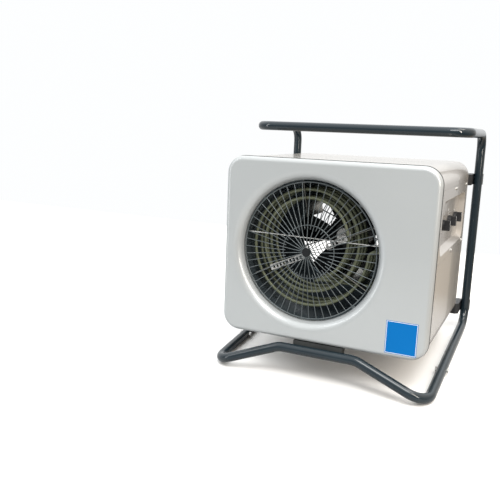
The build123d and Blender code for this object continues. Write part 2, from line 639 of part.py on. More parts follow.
# Fan hub: turned collar clamped to the shaft; the wheel is riveted to it.
with BuildPart() as fan_hub:
    with BuildSketch(front(FAN_Y - 16, FAN_X, FAN_Z)):
        Circle(24)
    extrude(amount=-36)
    with BuildSketch(front(FAN_Y + 1.7, FAN_X, FAN_Z)):
        Circle(29)
    extrude(amount=-4)
    with BuildSketch(front(FAN_Y - 20, FAN_X, FAN_Z)):
        Circle(SHAFT_R + 0.03)
    extrude(amount=-60, mode=Mode.SUBTRACT)
    chamfer(fan_hub.faces().sort_by(DEPTH)[0].outer_wire().edges(), 3)
fan_hub.part.label = "fan_hub"
export_step(fan_hub.part, "parts/fan_hub.step")

# Nut and washer on the shaft's end.
with BuildPart() as fan_nut:
    with BuildSketch(front(FAN_Y - 18.2, FAN_X, FAN_Z)):
        Circle(12)
    extrude(amount=-2)
    with BuildSketch(front(FAN_Y - 27, FAN_X, FAN_Z)):
        RegularPolygon(9.5, 6)
    extrude(amount=-9)
    with BuildSketch(front(FAN_Y - 30, FAN_X, FAN_Z)):
        Circle(SHAFT_R + 0.03)
    extrude(amount=-20, mode=Mode.SUBTRACT)
fan_nut.part.label = "fan_nut"
export_step(fan_nut.part, "parts/fan_nut.step")

# Motor shaft.
with BuildPart() as motor_shaft:
    with BuildSketch(front(FAN_Y - 31, FAN_X, FAN_Z)):
        Circle(SHAFT_R)
    extrude(amount=-(441 - FAN_Y + 31))
    chamfer(motor_shaft.faces().sort_by(DEPTH)[0].edges(), 1.2)
motor_shaft.part.label = "motor_shaft"
export_step(motor_shaft.part, "parts/motor_shaft.step")

# Rotor core pressed on the shaft.
with BuildPart() as motor_rotor:
    with BuildSketch(front(372, FAN_X, FAN_Z)):
        Circle(30.4)
        Circle(SHAFT_R + 0.03, mode=Mode.SUBTRACT)
    extrude(amount=-46)
motor_rotor.part.label = "motor_rotor"
export_step(motor_rotor.part, "parts/motor_rotor.step")

# Stator pack in the motor body.
with BuildPart() as motor_stator:
    with BuildSketch(front(368, FAN_X, FAN_Z)):
        Circle(52.9)
        Circle(31.0, mode=Mode.SUBTRACT)
        with PolarLocations(38, 24):
            Rectangle(12, 4.2, mode=Mode.SUBTRACT)
    extrude(amount=-54)
motor_stator.part.label = "motor_stator"
export_step(motor_stator.part, "parts/motor_stator.step")

# Motor body: finned tube.
with BuildPart() as motor_body:
    with BuildSketch(front(MOTOR_FRONT, FAN_X, FAN_Z)):
        Circle(MOTOR_R - 0.6)
        with PolarLocations(MOTOR_R, 36):
            Rectangle(5, 2.2)
        Circle(53.0, mode=Mode.SUBTRACT)
    extrude(amount=-(MOTOR_BACK - MOTOR_FRONT))
motor_body.part.label = "motor_body"
export_step(motor_body.part, "parts/motor_body.step")

# End caps with bearing seats.
with BuildPart() as motor_front_cap:
    with BuildSketch(front(MOTOR_FRONT - 6, FAN_X, FAN_Z)):
        Circle(MOTOR_R)
    extrude(amount=-5.8)
    with BuildSketch(front(MOTOR_FRONT - 10, FAN_X, FAN_Z)):
        Circle(20)
    extrude(amount=-17)
    with BuildSketch(front(MOTOR_FRONT - 5, FAN_X, FAN_Z)):
        Circle(14.05)
    extrude(amount=-30, mode=Mode.SUBTRACT)
    with BuildSketch(front(MOTOR_FRONT - 20, FAN_X, FAN_Z)):
        Circle(8)
    extrude(amount=-60, mode=Mode.SUBTRACT)
    with BuildSketch(front(MOTOR_FRONT - 20, FAN_X, FAN_Z)):
        with PolarLocations(48, 4, start_angle=45):
            Circle(2.2)
    extrude(amount=-60, mode=Mode.SUBTRACT)
motor_front_cap.part.label = "motor_front_cap"
export_step(motor_front_cap.part, "parts/motor_front_cap.step")

with BuildPart() as motor_rear_cap:
    with BuildSketch(front(MOTOR_BACK + 0.2, FAN_X, FAN_Z)):
        Circle(MOTOR_R)
    extrude(amount=-6)
    with BuildSketch(front(MOTOR_BACK - 5, FAN_X, FAN_Z)):
        Circle(20)
    extrude(amount=-18)
    with BuildSketch(front(MOTOR_BACK - 20, FAN_X, FAN_Z)):
        Circle(14.05)
    extrude(amount=-29, mode=Mode.SUBTRACT)
    with BuildSketch(front(MOTOR_BACK - 20, FAN_X, FAN_Z)):
        with PolarLocations(48, 4, start_angle=45):
            Circle(2.2)
    extrude(amount=-60, mode=Mode.SUBTRACT)
    with BuildSketch(front(MOTOR_BACK - 20, FAN_X, FAN_Z)):
        Circle(6.6)
    extrude(amount=-31.5, mode=Mode.SUBTRACT)
motor_rear_cap.part.label = "motor_rear_cap"
export_step(motor_rear_cap.part, "parts/motor_rear_cap.step")

# Two ball bearings in the end caps.
with BuildPart() as motor_bearings:
    with BuildSketch(front(MOTOR_FRONT - 4.9, FAN_X, FAN_Z), front(MOTOR_BACK - 2, FAN_X, FAN_Z)):
        Circle(14.0)
        Circle(SHAFT_R + 0.04, mode=Mode.SUBTRACT)
    extrude(amount=-10)
motor_bearings.part.label = "motor_bearings"
export_step(motor_bearings.part, "parts/motor_bearings.step")

# Four long motor screws, head at the back cap.
with BuildPart() as motor_screws:
    with BuildSketch(front(MOTOR_BACK + 6.4, FAN_X, FAN_Z)):
        with PolarLocations(48, 4, start_angle=45):
            Circle(4)
    extrude(amount=-3)
    with BuildSketch(front(MOTOR_BACK + 0.3, FAN_X, FAN_Z)):
        with PolarLocations(48, 4, start_angle=45):
            Circle(2)
    extrude(amount=-6.2)
motor_screws.part.label = "motor_screws"
export_step(motor_screws.part, "parts/motor_screws.step")

# Strap behind the motor: a bent plate across the intake, welded to the rear panel.
with BuildPart() as motor_support_strap:
    with BuildSketch(side(FAN_X - 58)):
        with BuildLine():
            Polyline(
                (440, 34), (440, 409.5), (450.4, 409.5), (450.4, 425), (451.9, 425), (451.9, 408),
                (441.5, 408), (441.5, 35.5), (451.9, 35.5), (451.9, 18), (450.4, 18), (450.4, 34),
                close=True,
            )
        make_face()
    extrude(amount=116)
    with BuildSketch(front(430, FAN_X, FAN_Z)):
        Circle(20.3)
    extrude(amount=-20, mode=Mode.SUBTRACT)
motor_support_strap.part.label = "motor_support_strap"
export_step(motor_support_strap.part, "parts/motor_support_strap.step")

# Pedestal: folded bracket from the base shell to the motor body.
BASE_TOP = (PANEL_H - SHELL_H) / 2 + SHEET
with BuildPart() as motor_pedestal:
    with BuildSketch(front(382)):
        with BuildLine():
            Polyline(
                (FAN_X - 62, BASE_TOP + 0.1),
                (FAN_X + 62, BASE_TOP + 0.1),
                (FAN_X + 46, FAN_Z - 12),
                (FAN_X - 46, FAN_Z - 12),
                close=True,
            )
        make_face()
        with Locations((FAN_X, FAN_Z)):
            Circle(MOTOR_R + 2.6, mode=Mode.SUBTRACT)
        with Locations((FAN_X, 80)):
            SlotOverall(46, 22, mode=Mode.SUBTRACT)
    extrude(amount=-3)
    with BuildSketch(front(405)):
        with BuildLine():
            Polyline(
                (FAN_X - 62, BASE_TOP + 0.1),
                (FAN_X + 62, BASE_TOP + 0.1),
                (FAN_X + 46, FAN_Z - 12),
                (FAN_X - 46, FAN_Z - 12),
                close=True,
            )
        make_face()
        with Locations((FAN_X, FAN_Z)):
            Circle(MOTOR_R + 2.6, mode=Mode.SUBTRACT)
        with Locations((FAN_X, 80)):
            SlotOverall(46, 22, mode=Mode.SUBTRACT)
    extrude(amount=-3)
    with BuildSketch(level(BASE_TOP + 0.1, FAN_X, 395)):
        Rectangle(124, 60)
        with Locations((-45, -22), (45, -22), (-45, 22), (45, 22)):
            Circle(3.2, mode=Mode.SUBTRACT)
    extrude(amount=3)
    # cradle strip bent round the lower half of the motor
    with BuildSketch(front(380, FAN_X, FAN_Z)):
        Circle(MOTOR_R + 5.6)
        Circle(MOTOR_R + 2.6, mode=Mode.SUBTRACT)
        with Locations((0, OVER / 2 - 30)):
            Rectangle(OVER, OVER, mode=Mode.SUBTRACT)
    extrude(amount=-30)
motor_pedestal.part.label = "motor_pedestal"
export_step(motor_pedestal.part, "parts/motor_pedestal.step")

# ---------------------------------------------------------------------------
# Controls: knob, spindle and switch body behind the pocket's floor
# ---------------------------------------------------------------------------

FLOOR_X = PLATE_X - POCKET_D          # outer face of the pocket's floor
SWITCH_X = FLOOR_X - SHEET - 0.2      # switch bodies sit behind it

# Heat selector knob.
with BuildPart() as heat_knob:
    with BuildSketch(side(FLOOR_X + 0.6, KNOB_Y[0], KNOB_Z)):
        Circle(KNOB_D / 2)
    extrude(amount=8)
    with BuildSketch(side(FLOOR_X + 8.6, KNOB_Y[0], KNOB_Z)):
        Circle(KNOB_D / 2 - 0.4)
        Rectangle(12, KNOB_D, mode=Mode.INTERSECT)
    extrude(amount=KNOB_H - 8)
    fillet(heat_knob.faces().sort_by(Axis.X)[-1].edges(), 0.8)
    with BuildSketch(side(FLOOR_X, KNOB_Y[0], KNOB_Z)):
        Circle(3.05)
    extrude(amount=14, mode=Mode.SUBTRACT)
heat_knob.part.label = "heat_knob"
export_step(heat_knob.part, "parts/heat_knob.step")

# Fan selector knob.
with BuildPart() as fan_knob:
    with BuildSketch(side(FLOOR_X + 0.6, KNOB_Y[1], KNOB_Z)):
        Circle(KNOB_D / 2)
    extrude(amount=8)
    with BuildSketch(side(FLOOR_X + 8.6, KNOB_Y[1], KNOB_Z)):
        Circle(KNOB_D / 2 - 0.4)
        Rectangle(12, KNOB_D, mode=Mode.INTERSECT)
    extrude(amount=KNOB_H - 8)
    fillet(fan_knob.faces().sort_by(Axis.X)[-1].edges(), 0.8)
    with BuildSketch(side(FLOOR_X, KNOB_Y[1], KNOB_Z)):
        Circle(3.05)
    extrude(amount=14, mode=Mode.SUBTRACT)
fan_knob.part.label = "fan_knob"
export_step(fan_knob.part, "parts/fan_knob.step")

# Thermostat knob.
with BuildPart() as thermostat_knob:
    with BuildSketch(side(FLOOR_X + 0.6, KNOB_Y[2], KNOB_Z)):
        Circle(KNOB_D / 2)
    extrude(amount=8)
    with BuildSketch(side(FLOOR_X + 8.6, KNOB_Y[2], KNOB_Z)):
        Circle(KNOB_D / 2 - 0.4)
        Rectangle(12, KNOB_D, mode=Mode.INTERSECT)
    extrude(amount=KNOB_H - 8)
    fillet(thermostat_knob.faces().sort_by(Axis.X)[-1].edges(), 0.8)
    with BuildSketch(side(FLOOR_X, KNOB_Y[2], KNOB_Z)):
        Circle(3.05)
    extrude(amount=14, mode=Mode.SUBTRACT)
thermostat_knob.part.label = "thermostat_knob"
export_step(thermostat_knob.part, "parts/thermostat_knob.step")

# Spindles: 6 mm with a flat, from inside the switch into the knob.
SPINDLE = 44.0
with BuildPart() as heat_spindle:
    with BuildSketch(side(FLOOR_X + 12 - SPINDLE, KNOB_Y[0], KNOB_Z)):
        Circle(3.0)
    extrude(amount=SPINDLE)
heat_spindle.part.label = "heat_spindle"
export_step(heat_spindle.part, "parts/heat_spindle.step")

with BuildPart() as fan_spindle:
    with BuildSketch(side(FLOOR_X + 12 - SPINDLE, KNOB_Y[1], KNOB_Z)):
        Circle(3.0)
    extrude(amount=SPINDLE)
fan_spindle.part.label = "fan_spindle"
export_step(fan_spindle.part, "parts/fan_spindle.step")

with BuildPart() as thermostat_spindle:
    with BuildSketch(side(FLOOR_X + 12 - SPINDLE, KNOB_Y[2], KNOB_Z)):
        Circle(3.0)
    extrude(amount=SPINDLE)
thermostat_spindle.part.label = "thermostat_spindle"
export_step(thermostat_spindle.part, "parts/thermostat_spindle.step")

# Switch bodies: square cam-switch blocks with a threaded neck, bored for the
# spindle.
with BuildPart() as heat_switch:
    with BuildSketch(side(SWITCH_X, KNOB_Y[0], KNOB_Z)):
        RectangleRounded(46, 46, 4)
    extrude(amount=-48)
    with BuildSketch(side(SWITCH_X, KNOB_Y[0], KNOB_Z)):
        Circle(4.9)
    extrude(amount=1.4)
    with BuildSketch(side(SWITCH_X + 3, KNOB_Y[0], KNOB_Z)):
        Circle(3.06)
    extrude(amount=-36, mode=Mode.SUBTRACT)
heat_switch.part.label = "heat_switch"
export_step(heat_switch.part, "parts/heat_switch.step")

with BuildPart() as fan_switch:
    with BuildSketch(side(SWITCH_X, KNOB_Y[1], KNOB_Z)):
        RectangleRounded(46, 46, 4)
    extrude(amount=-48)
    with BuildSketch(side(SWITCH_X, KNOB_Y[1], KNOB_Z)):
        Circle(4.9)
    extrude(amount=1.4)
    with BuildSketch(side(SWITCH_X + 3, KNOB_Y[1], KNOB_Z)):
        Circle(3.06)
    extrude(amount=-36, mode=Mode.SUBTRACT)
fan_switch.part.label = "fan_switch"
export_step(fan_switch.part, "parts/fan_switch.step")

with BuildPart() as thermostat_body:
    with BuildSketch(side(SWITCH_X, KNOB_Y[2], KNOB_Z)):
        RectangleRounded(52, 38, 5)
    extrude(amount=-38)
    with BuildSketch(side(SWITCH_X, KNOB_Y[2], KNOB_Z)):
        Circle(4.9)
    extrude(amount=1.4)
    with BuildSketch(side(SWITCH_X + 3, KNOB_Y[2], KNOB_Z)):
        Circle(3.06)
    extrude(amount=-36, mode=Mode.SUBTRACT)
thermostat_body.part.label = "thermostat_body"
export_step(thermostat_body.part, "parts/thermostat_body.step")

# Overheat reset: push button in a bezel, and its switch body.
with BuildPart() as reset_button:
    with BuildSketch(side(FLOOR_X - 5, RESET_Y, RESET_Z)):
        Circle(3.4)
    extrude(amount=10)
    fillet(reset_button.faces().sort_by(Axis.X)[-1].edges(), 1.2)
reset_button.part.label = "reset_button"
export_step(reset_button.part, "parts/reset_button.step")

with BuildPart() as reset_switch:
    with BuildSketch(side(SWITCH_X, RESET_Y, RESET_Z)):
        RectangleRounded(20, 20, 2)
    extrude(amount=-26)
    with BuildSketch(side(SWITCH_X, RESET_Y, RESET_Z)):
        Circle(5.0)
    extrude(amount=3.2)
    with BuildSketch(side(FLOOR_X + 0.1, RESET_Y, RESET_Z)):
        Circle(7.5)
    extrude(amount=1.6)
    with BuildSketch(side(FLOOR_X - 8.5, RESET_Y, RESET_Z)):
        Circle(3.5)
    extrude(amount=20, mode=Mode.SUBTRACT)
reset_switch.part.label = "reset_switch"
export_step(reset_switch.part, "parts/reset_switch.step")

# ---------------------------------------------------------------------------
# Electrical compartment
# ---------------------------------------------------------------------------

RAIL_X = PARTITION_X + 1.2 + 0.1
with BuildPart() as din_rail:
    with BuildSketch(front(90, RAIL_X, 82)):
        with BuildLine():
            Polyline(
                (0, -12), (0, 12), (7, 12), (7, 17.5), (8, 17.5), (8, 11), (1, 11),
                (1, -11), (8, -11), (8, -17.5), (7, -17.5), (7, -12), close=True,
            )
        make_face()
    extrude(amount=-250)
din_rail.part.label = "din_rail"
export_step(din_rail.part, "parts/din_rail.step")

# Two contactors clipped on the rail.
with BuildPart() as heater_contactors:
    with BuildSketch(side(RAIL_X + 8.2)):
        with Locations((125, 82), (180, 82)):
            RectangleRounded(45, 82, 2)
    extrude(amount=50)
    with BuildSketch(side(RAIL_X + 58)):
        with Locations((125, 82), (180, 82)):
            RectangleRounded(41, 48, 2)
    extrude(amount=22)
heater_contactors.part.label = "heater_contactors"
export_step(heater_contactors.part, "parts/heater_contactors.step")

# Supply terminal block on the rail's rear end.
with BuildPart() as terminal_block:
    with BuildSketch(side(RAIL_X + 8.2)):
        with Locations((280, 82)):
            Rectangle(88, 46)
    extrude(amount=34)
    with BuildSketch(side(RAIL_X + 8.2 + 34)):
        with Locations(*[(280 + 16 * k, z) for k in (-2, -1, 0, 1, 2) for z in (70, 94)]):
            Circle(4.5)
    extrude(amount=-9, mode=Mode.SUBTRACT)
terminal_block.part.label = "terminal_block"
export_step(terminal_block.part, "parts/terminal_block.step")

# Cable gland: body through the rear panel, open for the supply cable, and the
# nut behind the panel.
with BuildPart() as cable_gland:
    with BuildSketch(front(REAR_Y + SHEET + 0.1, GLAND_X, GLAND_Z)):
        RegularPolygon(14, 6)
    extrude(amount=-6)
    with BuildSketch(front(REAR_Y + SHEET + 6, GLAND_X, GLAND_Z)):
        Circle(12.4)
    extrude(amount=-17)
    fillet(cable_gland.faces().sort_by(DEPTH)[-1].edges(), 3)
    with BuildSketch(front(REAR_Y + SHEET + 0.2, GLAND_X, GLAND_Z)):
        Circle(9.9)
    extrude(amount=15)
    with BuildSketch(front(REAR_Y - 30, GLAND_X, GLAND_Z)):
        Circle(6.5)
    extrude(amount=-80, mode=Mode.SUBTRACT)
cable_gland.part.label = "cable_gland"
export_step(cable_gland.part, "parts/cable_gland.step")

with BuildPart() as gland_nut:
    with BuildSketch(front(REAR_Y - 0.1, GLAND_X, GLAND_Z)):
        RegularPolygon(13.5, 6)
        Circle(10.0, mode=Mode.SUBTRACT)
    extrude(amount=5)
gland_nut.part.label = "gland_nut"
export_step(gland_nut.part, "parts/gland_nut.step")

# ---------------------------------------------------------------------------
# Fasteners of the casing
# ---------------------------------------------------------------------------

with BuildPart() as seam_screws:
    with BuildSketch(side(PLATE_X + 0.05)):
        with Locations(*SIDE_SCREWS):
            Circle(4.2)
    extrude(amount=2.4)
    fillet(seam_screws.faces().filter_by(lambda f: f.center().X > PLATE_X + 2.2).edges(), 1.4)
    with BuildSketch(side(PLATE_X + 0.1)):
        with Locations(*SIDE_SCREWS):
            Circle(1.9)
    extrude(amount=-10)
    with BuildSketch(side(-SHELL_W / 2 - 0.05)):
        with Locations(*[(y, SEAM_TOP - 8.5) for y in SCREW_Y]):
            Circle(4.2)
    extrude(amount=-2.4)
    fillet(seam_screws.faces().filter_by(lambda f: f.center().X < -SHELL_W / 2 - 2.2).edges(), 1.4)
    with BuildSketch(side(-SHELL_W / 2 - 0.1)):
        with Locations(*[(y, SEAM_TOP - 8.5) for y in SCREW_Y]):
            Circle(1.9)
    extrude(amount=10)
seam_screws.part.label = "seam_screws"
export_step(seam_screws.part, "parts/seam_screws.step")

with BuildPart() as rear_panel_screws:
    with BuildSketch(front(REAR_Y + SHEET + 0.05)):
        with Locations(*REAR_SCREWS):
            Circle(4.2)
    extrude(amount=-2.4)
    with BuildSketch(front(REAR_Y + SHEET + 0.1)):
        with Locations(*REAR_SCREWS):
            Circle(1.9)
    extrude(amount=9)
rear_panel_screws.part.label = "rear_panel_screws"
export_step(rear_panel_screws.part, "parts/rear_panel_screws.step")

# Plain label on the front panel's lower right corner.
with BuildPart() as front_label:
    with BuildSketch(front(-0.05, 200.2, 50.0)):
        RectangleRounded(73, 78, 1.5)
    extrude(amount=0.35)
front_label.part.label = "front_label"
export_step(front_label.part, "parts/front_label.step")

# ---------------------------------------------------------------------------
# Tube frame. Its rails lie on the floor; the uprights are parallel to the
# housing's back, and the legs of the handle run forward over the housing.
# ---------------------------------------------------------------------------

RAIL_Z = FRAME_D / 2


def rail_x(y):
    """Half the distance between the rails; y is along the floor."""
    return FOOT_X + (UPRIGHT_X - FOOT_X) * (y - FOOT_Y) / (RAIL_BACK_Y - FOOT_Y)


def rail_pt(s, y):
    return (s * rail_x(y), y + SHIFT_Y, RAIL_Z)


TOP_R, HANDLE_R, HEEL_R, FOOT_R, KINK_R = 42.0, 42.0, 50.0, 46.0, 60.0

with BuildPart() as rear_frame_tube:
    with BuildLine() as path:
        FilletPolyline(
            rail_pt(-1, SPLICE_Y + 0.4),
            rail_pt(-1, RAIL_BACK_Y),
            pt(-UPRIGHT_X, UPRIGHT_Y, HANDLE_Z),
            pt(-UPRIGHT_X, HANDLE_Y, HANDLE_Z),
            pt(UPRIGHT_X, HANDLE_Y, HANDLE_Z),
            pt(UPRIGHT_X, UPRIGHT_Y, HANDLE_Z),
            rail_pt(1, RAIL_BACK_Y),
            rail_pt(1, SPLICE_Y + 0.4),
            radius=[HEEL_R, TOP_R, HANDLE_R, HANDLE_R, TOP_R, HEEL_R],
        )
    run = path.wires()[0]
    with BuildSketch(Plane(origin=run @ 0, z_dir=run % 0)):
        Circle(FRAME_D / 2)
        Circle(FRAME_BORE / 2, mode=Mode.SUBTRACT)
    sweep(path=run)
    # bolt holes of the four brackets
    with BuildSketch(*[front(UPRIGHT_Y + 2, s * UPRIGHT_X, z) for s in (-1, 1) for z in ARM_Z]):
        Circle(4.2)
    extrude(amount=-20, mode=Mode.SUBTRACT)
rear_frame_tube.part.label = "rear_frame_tube"
export_step(rear_frame_tube.part, "parts/rear_frame_tube.step")

with BuildPart() as front_foot_tube:
    with BuildLine() as path:
        FilletPolyline(
            rail_pt(-1, SPLICE_Y - 0.4),
            rail_pt(-1, FOOT_Y),
            pt(-KINK_X, KINK_Y, KINK_Z),
            pt(KINK_X, KINK_Y, KINK_Z),
            rail_pt(1, FOOT_Y),
            rail_pt(1, SPLICE_Y - 0.4),
            radius=[FOOT_R, KINK_R, KINK_R, FOOT_R],
        )
    run = path.wires()[0]
    with BuildSketch(Plane(origin=run @ 0, z_dir=run % 0)):
        Circle(FRAME_D / 2)
        Circle(FRAME_BORE / 2, mode=Mode.SUBTRACT)
    sweep(path=run)
    # holes of the joint bolts and of the pad bolts
    with BuildSketch(Plane(origin=(-300, BOLT_Y + SHIFT_Y, RAIL_Z), x_dir=(0, 1, 0), z_dir=(1, 0, 0))):
        Circle(3.2)
    extrude(amount=600, mode=Mode.SUBTRACT)
    with BuildSketch(front(14, 0, KINK_Z)):
        with Locations((-PAD_BOLT_X, 0), (PAD_BOLT_X, 0)):
            Circle(2.6)
    extrude(amount=11, mode=Mode.SUBTRACT)
front_foot_tube.part.label = "front_foot_tube"
export_step(front_foot_tube.part, "parts/front_foot_tube.step")

# Inner sleeves that join the two tubes in each rail.
with BuildPart() as splice_sleeves:
    for s in (-1, 1):
        start = Vector(*rail_pt(s, SPLICE_Y - 45))
        end = Vector(*rail_pt(s, SPLICE_Y + 45))
        with BuildSketch(Plane(origin=start, z_dir=end - start)):
            Circle(FRAME_BORE / 2 - 0.1)
            Circle(FRAME_BORE / 2 - 2.1, mode=Mode.SUBTRACT)
        extrude(amount=90)
    with BuildSketch(Plane(origin=(-300, BOLT_Y + SHIFT_Y, RAIL_Z), x_dir=(0, 1, 0), z_dir=(1, 0, 0))):
        Circle(3.2)
    extrude(amount=600, mode=Mode.SUBTRACT)
splice_sleeves.part.label = "splice_sleeves"
export_step(splice_sleeves.part, "parts/splice_sleeves.step")

# Bolts through the rail joints, head outside and nut inside.
with BuildPart() as splice_bolts:
    for s in (-1, 1):
        x = rail_x(BOLT_Y)
        outer = Plane(origin=(s * x, BOLT_Y + SHIFT_Y, RAIL_Z), x_dir=(0, 1, 0), z_dir=(s, 0, 0))
        with BuildSketch(outer.offset(-15.5)):
            Circle(3.0)
        extrude(amount=28.5)
        with BuildSketch(outer.offset(FRAME_D / 2 + 0.3)):
            Circle(6.2)
        extrude(amount=3.4)
        with BuildSketch(outer.offset(-(FRAME_D / 2 + 0.3) - 4.2)):
            RegularPolygon(5.8, 6)
        extrude(amount=4.2)
splice_bolts.part.label = "splice_bolts"
export_step(splice_bolts.part, "parts/splice_bolts.step")


ARM_OUTLINE = (
    (240.5, 460.4), (258, 460.4), (265.4, 468), (265.4, 525), (290, 525),
    (290, 537.8), (255, 537.8), (249, 531), (249, 474), (240.5, 464.2),
)


def bracket_outline(s):
    """Outline of a rear bracket's arm seen from above; it reaches round behind the upright."""
    return [(s * x, y) for x, y in ARM_OUTLINE]


# Brackets: moulded blocks between the rear panel and the uprights. The foot sits
# on the rear panel, and the arm reaches round behind the upright.
with BuildPart() as lower_left_bracket:
    with BuildSketch(level(ARM_Z[0] - 15)):
        with BuildLine():
            Polyline(*bracket_outline(-1), close=True)
        make_face()
        for dy in (0, -1.4):
            with Locations((-1 * UPRIGHT_X, UPRIGHT_Y + dy)):
                Circle(FRAME_D / 2 + 0.1, mode=Mode.SUBTRACT)
    extrude(amount=30)
    fillet(lower_left_bracket.edges().filter_by(lambda e: abs(HOUSING.to_local_coords(e.center()).Y - 537.8) < 0.01), 2.2)
    with BuildSketch(level(BRACKET_Z[0] - 17.5)):
        with Locations((-1 * 234.75, 458.95)):
            Rectangle(23.5, 10.5)
    extrude(amount=35)
    with BuildSketch(front(UPRIGHT_Y, -1 * UPRIGHT_X, ARM_Z[0])):
        Circle(4.1)
    extrude(amount=-40, mode=Mode.SUBTRACT)
    with BuildSketch(front(440, -1 * 235, BRACKET_Z[0])):
        with Locations((0, -9), (0, 9)):
            Circle(2.3)
    extrude(amount=-40, mode=Mode.SUBTRACT)
lower_left_bracket.part.label = "lower_left_bracket"
export_step(lower_left_bracket.part, "parts/lower_left_bracket.step")

with BuildPart() as lower_right_bracket:
    with BuildSketch(level(ARM_Z[0] - 15)):
        with BuildLine():
            Polyline(*bracket_outline(1), close=True)
        make_face()
        for dy in (0, -1.4):
            with Locations((1 * UPRIGHT_X, UPRIGHT_Y + dy)):
                Circle(FRAME_D / 2 + 0.1, mode=Mode.SUBTRACT)
    extrude(amount=30)
    fillet(lower_right_bracket.edges().filter_by(lambda e: abs(HOUSING.to_local_coords(e.center()).Y - 537.8) < 0.01), 2.2)
    with BuildSketch(level(BRACKET_Z[0] - 17.5)):
        with Locations((1 * 234.75, 458.95)):
            Rectangle(23.5, 10.5)
    extrude(amount=35)
    with BuildSketch(front(UPRIGHT_Y, 1 * UPRIGHT_X, ARM_Z[0])):
        Circle(4.1)
    extrude(amount=-40, mode=Mode.SUBTRACT)
    with BuildSketch(front(440, 1 * 235, BRACKET_Z[0])):
        with Locations((0, -9), (0, 9)):
            Circle(2.3)
    extrude(amount=-40, mode=Mode.SUBTRACT)
lower_right_bracket.part.label = "lower_right_bracket"
export_step(lower_right_bracket.part, "parts/lower_right_bracket.step")

with BuildPart() as upper_left_bracket:
    with BuildSketch(level(ARM_Z[1] - 15)):
        with BuildLine():
            Polyline(*bracket_outline(-1), close=True)
        make_face()
        for dy in (0, -1.4):
            with Locations((-1 * UPRIGHT_X, UPRIGHT_Y + dy)):
                Circle(FRAME_D / 2 + 0.1, mode=Mode.SUBTRACT)
    extrude(amount=30)
    fillet(upper_left_bracket.edges().filter_by(lambda e: abs(HOUSING.to_local_coords(e.center()).Y - 537.8) < 0.01), 2.2)
    with BuildSketch(level(BRACKET_Z[1] - 17.5)):
        with Locations((-1 * 234.75, 458.95)):
            Rectangle(23.5, 10.5)
    extrude(amount=35)
    with BuildSketch(front(UPRIGHT_Y, -1 * UPRIGHT_X, ARM_Z[1])):
        Circle(4.1)
    extrude(amount=-40, mode=Mode.SUBTRACT)
    with BuildSketch(front(440, -1 * 235, BRACKET_Z[1])):
        with Locations((0, -9), (0, 9)):
            Circle(2.3)
    extrude(amount=-40, mode=Mode.SUBTRACT)
upper_left_bracket.part.label = "upper_left_bracket"
export_step(upper_left_bracket.part, "parts/upper_left_bracket.step")

with BuildPart() as upper_right_bracket:
    with BuildSketch(level(ARM_Z[1] - 15)):
        with BuildLine():
            Polyline(*bracket_outline(1), close=True)
        make_face()
        for dy in (0, -1.4):
            with Locations((1 * UPRIGHT_X, UPRIGHT_Y + dy)):
                Circle(FRAME_D / 2 + 0.1, mode=Mode.SUBTRACT)
    extrude(amount=30)
    fillet(upper_right_bracket.edges().filter_by(lambda e: abs(HOUSING.to_local_coords(e.center()).Y - 537.8) < 0.01), 2.2)
    with BuildSketch(level(BRACKET_Z[1] - 17.5)):
        with Locations((1 * 234.75, 458.95)):
            Rectangle(23.5, 10.5)
    extrude(amount=35)
    with BuildSketch(front(UPRIGHT_Y, 1 * UPRIGHT_X, ARM_Z[1])):
        Circle(4.1)
    extrude(amount=-40, mode=Mode.SUBTRACT)
    with BuildSketch(front(440, 1 * 235, BRACKET_Z[1])):
        with Locations((0, -9), (0, 9)):
            Circle(2.3)
    extrude(amount=-40, mode=Mode.SUBTRACT)
upper_right_bracket.part.label = "upper_right_bracket"
export_step(upper_right_bracket.part, "parts/upper_right_bracket.step")

# Four bolts: low head behind the bracket's arm, shank through the arm into a
# threaded insert in the upright.
with BuildPart() as bracket_bolts:
    for s in (-1, 1):
        for z in ARM_Z:
            with BuildSketch(front(538.1, s * UPRIGHT_X, z)):
                Circle(7.0)
            extrude(amount=-3.0)
            with BuildSketch(front(538.2, s * UPRIGHT_X, z)):
                Circle(4.0)
            extrude(amount=19)
    fillet(bracket_bolts.faces().filter_by(lambda f: HOUSING.to_local_coords(f.center()).Y > 541.0).edges(), 1.6)
bracket_bolts.part.label = "bracket_bolts"
export_step(bracket_bolts.part, "parts/bracket_bolts.step")

# Two screws hold each bracket to the rear panel.
BRACKET_SCREWS = [(sx * 235, z + dz) for sx in (-1, 1) for z in BRACKET_Z for dz in (-9, 9)]
with BuildPart() as bracket_screws:
    with BuildSketch(front(464.3)):
        with Locations(*BRACKET_SCREWS):
            Circle(4.2)
    extrude(amount=-2.4)
    with BuildSketch(front(464.4)):
        with Locations(*BRACKET_SCREWS):
            Circle(1.9)
    extrude(amount=22)
bracket_screws.part.label = "bracket_screws"
export_step(bracket_screws.part, "parts/bracket_screws.step")

# Rubber saddle between the raised front bar and the housing's underside.
with BuildPart() as front_support_pad:
    with BuildSketch(side(-62)):
        with BuildLine():
            Polyline(
                (1, KINK_Z + 9), (1, -0.3), (SHELL_FRONT - 0.4, -0.3),
                (SHELL_FRONT - 0.4, 1.9), (58, 1.9), (58, -4), (30, -9), (24, -14), (24, -31), (9, -31),
                close=True,
            )
        make_face()
        with Locations((KINK_Y, KINK_Z)):
            Circle(FRAME_D / 2 + 0.1, mode=Mode.SUBTRACT)
    extrude(amount=124)
    with BuildSketch(front(30, 0, KINK_Z)):
        with Locations((-PAD_BOLT_X, 0), (PAD_BOLT_X, 0)):
            Circle(2.6)
    extrude(amount=26, mode=Mode.SUBTRACT)
    with BuildSketch(level(-20, 0, PAD_BOLT_Y)):
        with Locations((-PAD_BOLT_X, 0), (PAD_BOLT_X, 0)):
            Circle(3.3)
    extrude(amount=40, mode=Mode.SUBTRACT)
front_support_pad.part.label = "front_support_pad"
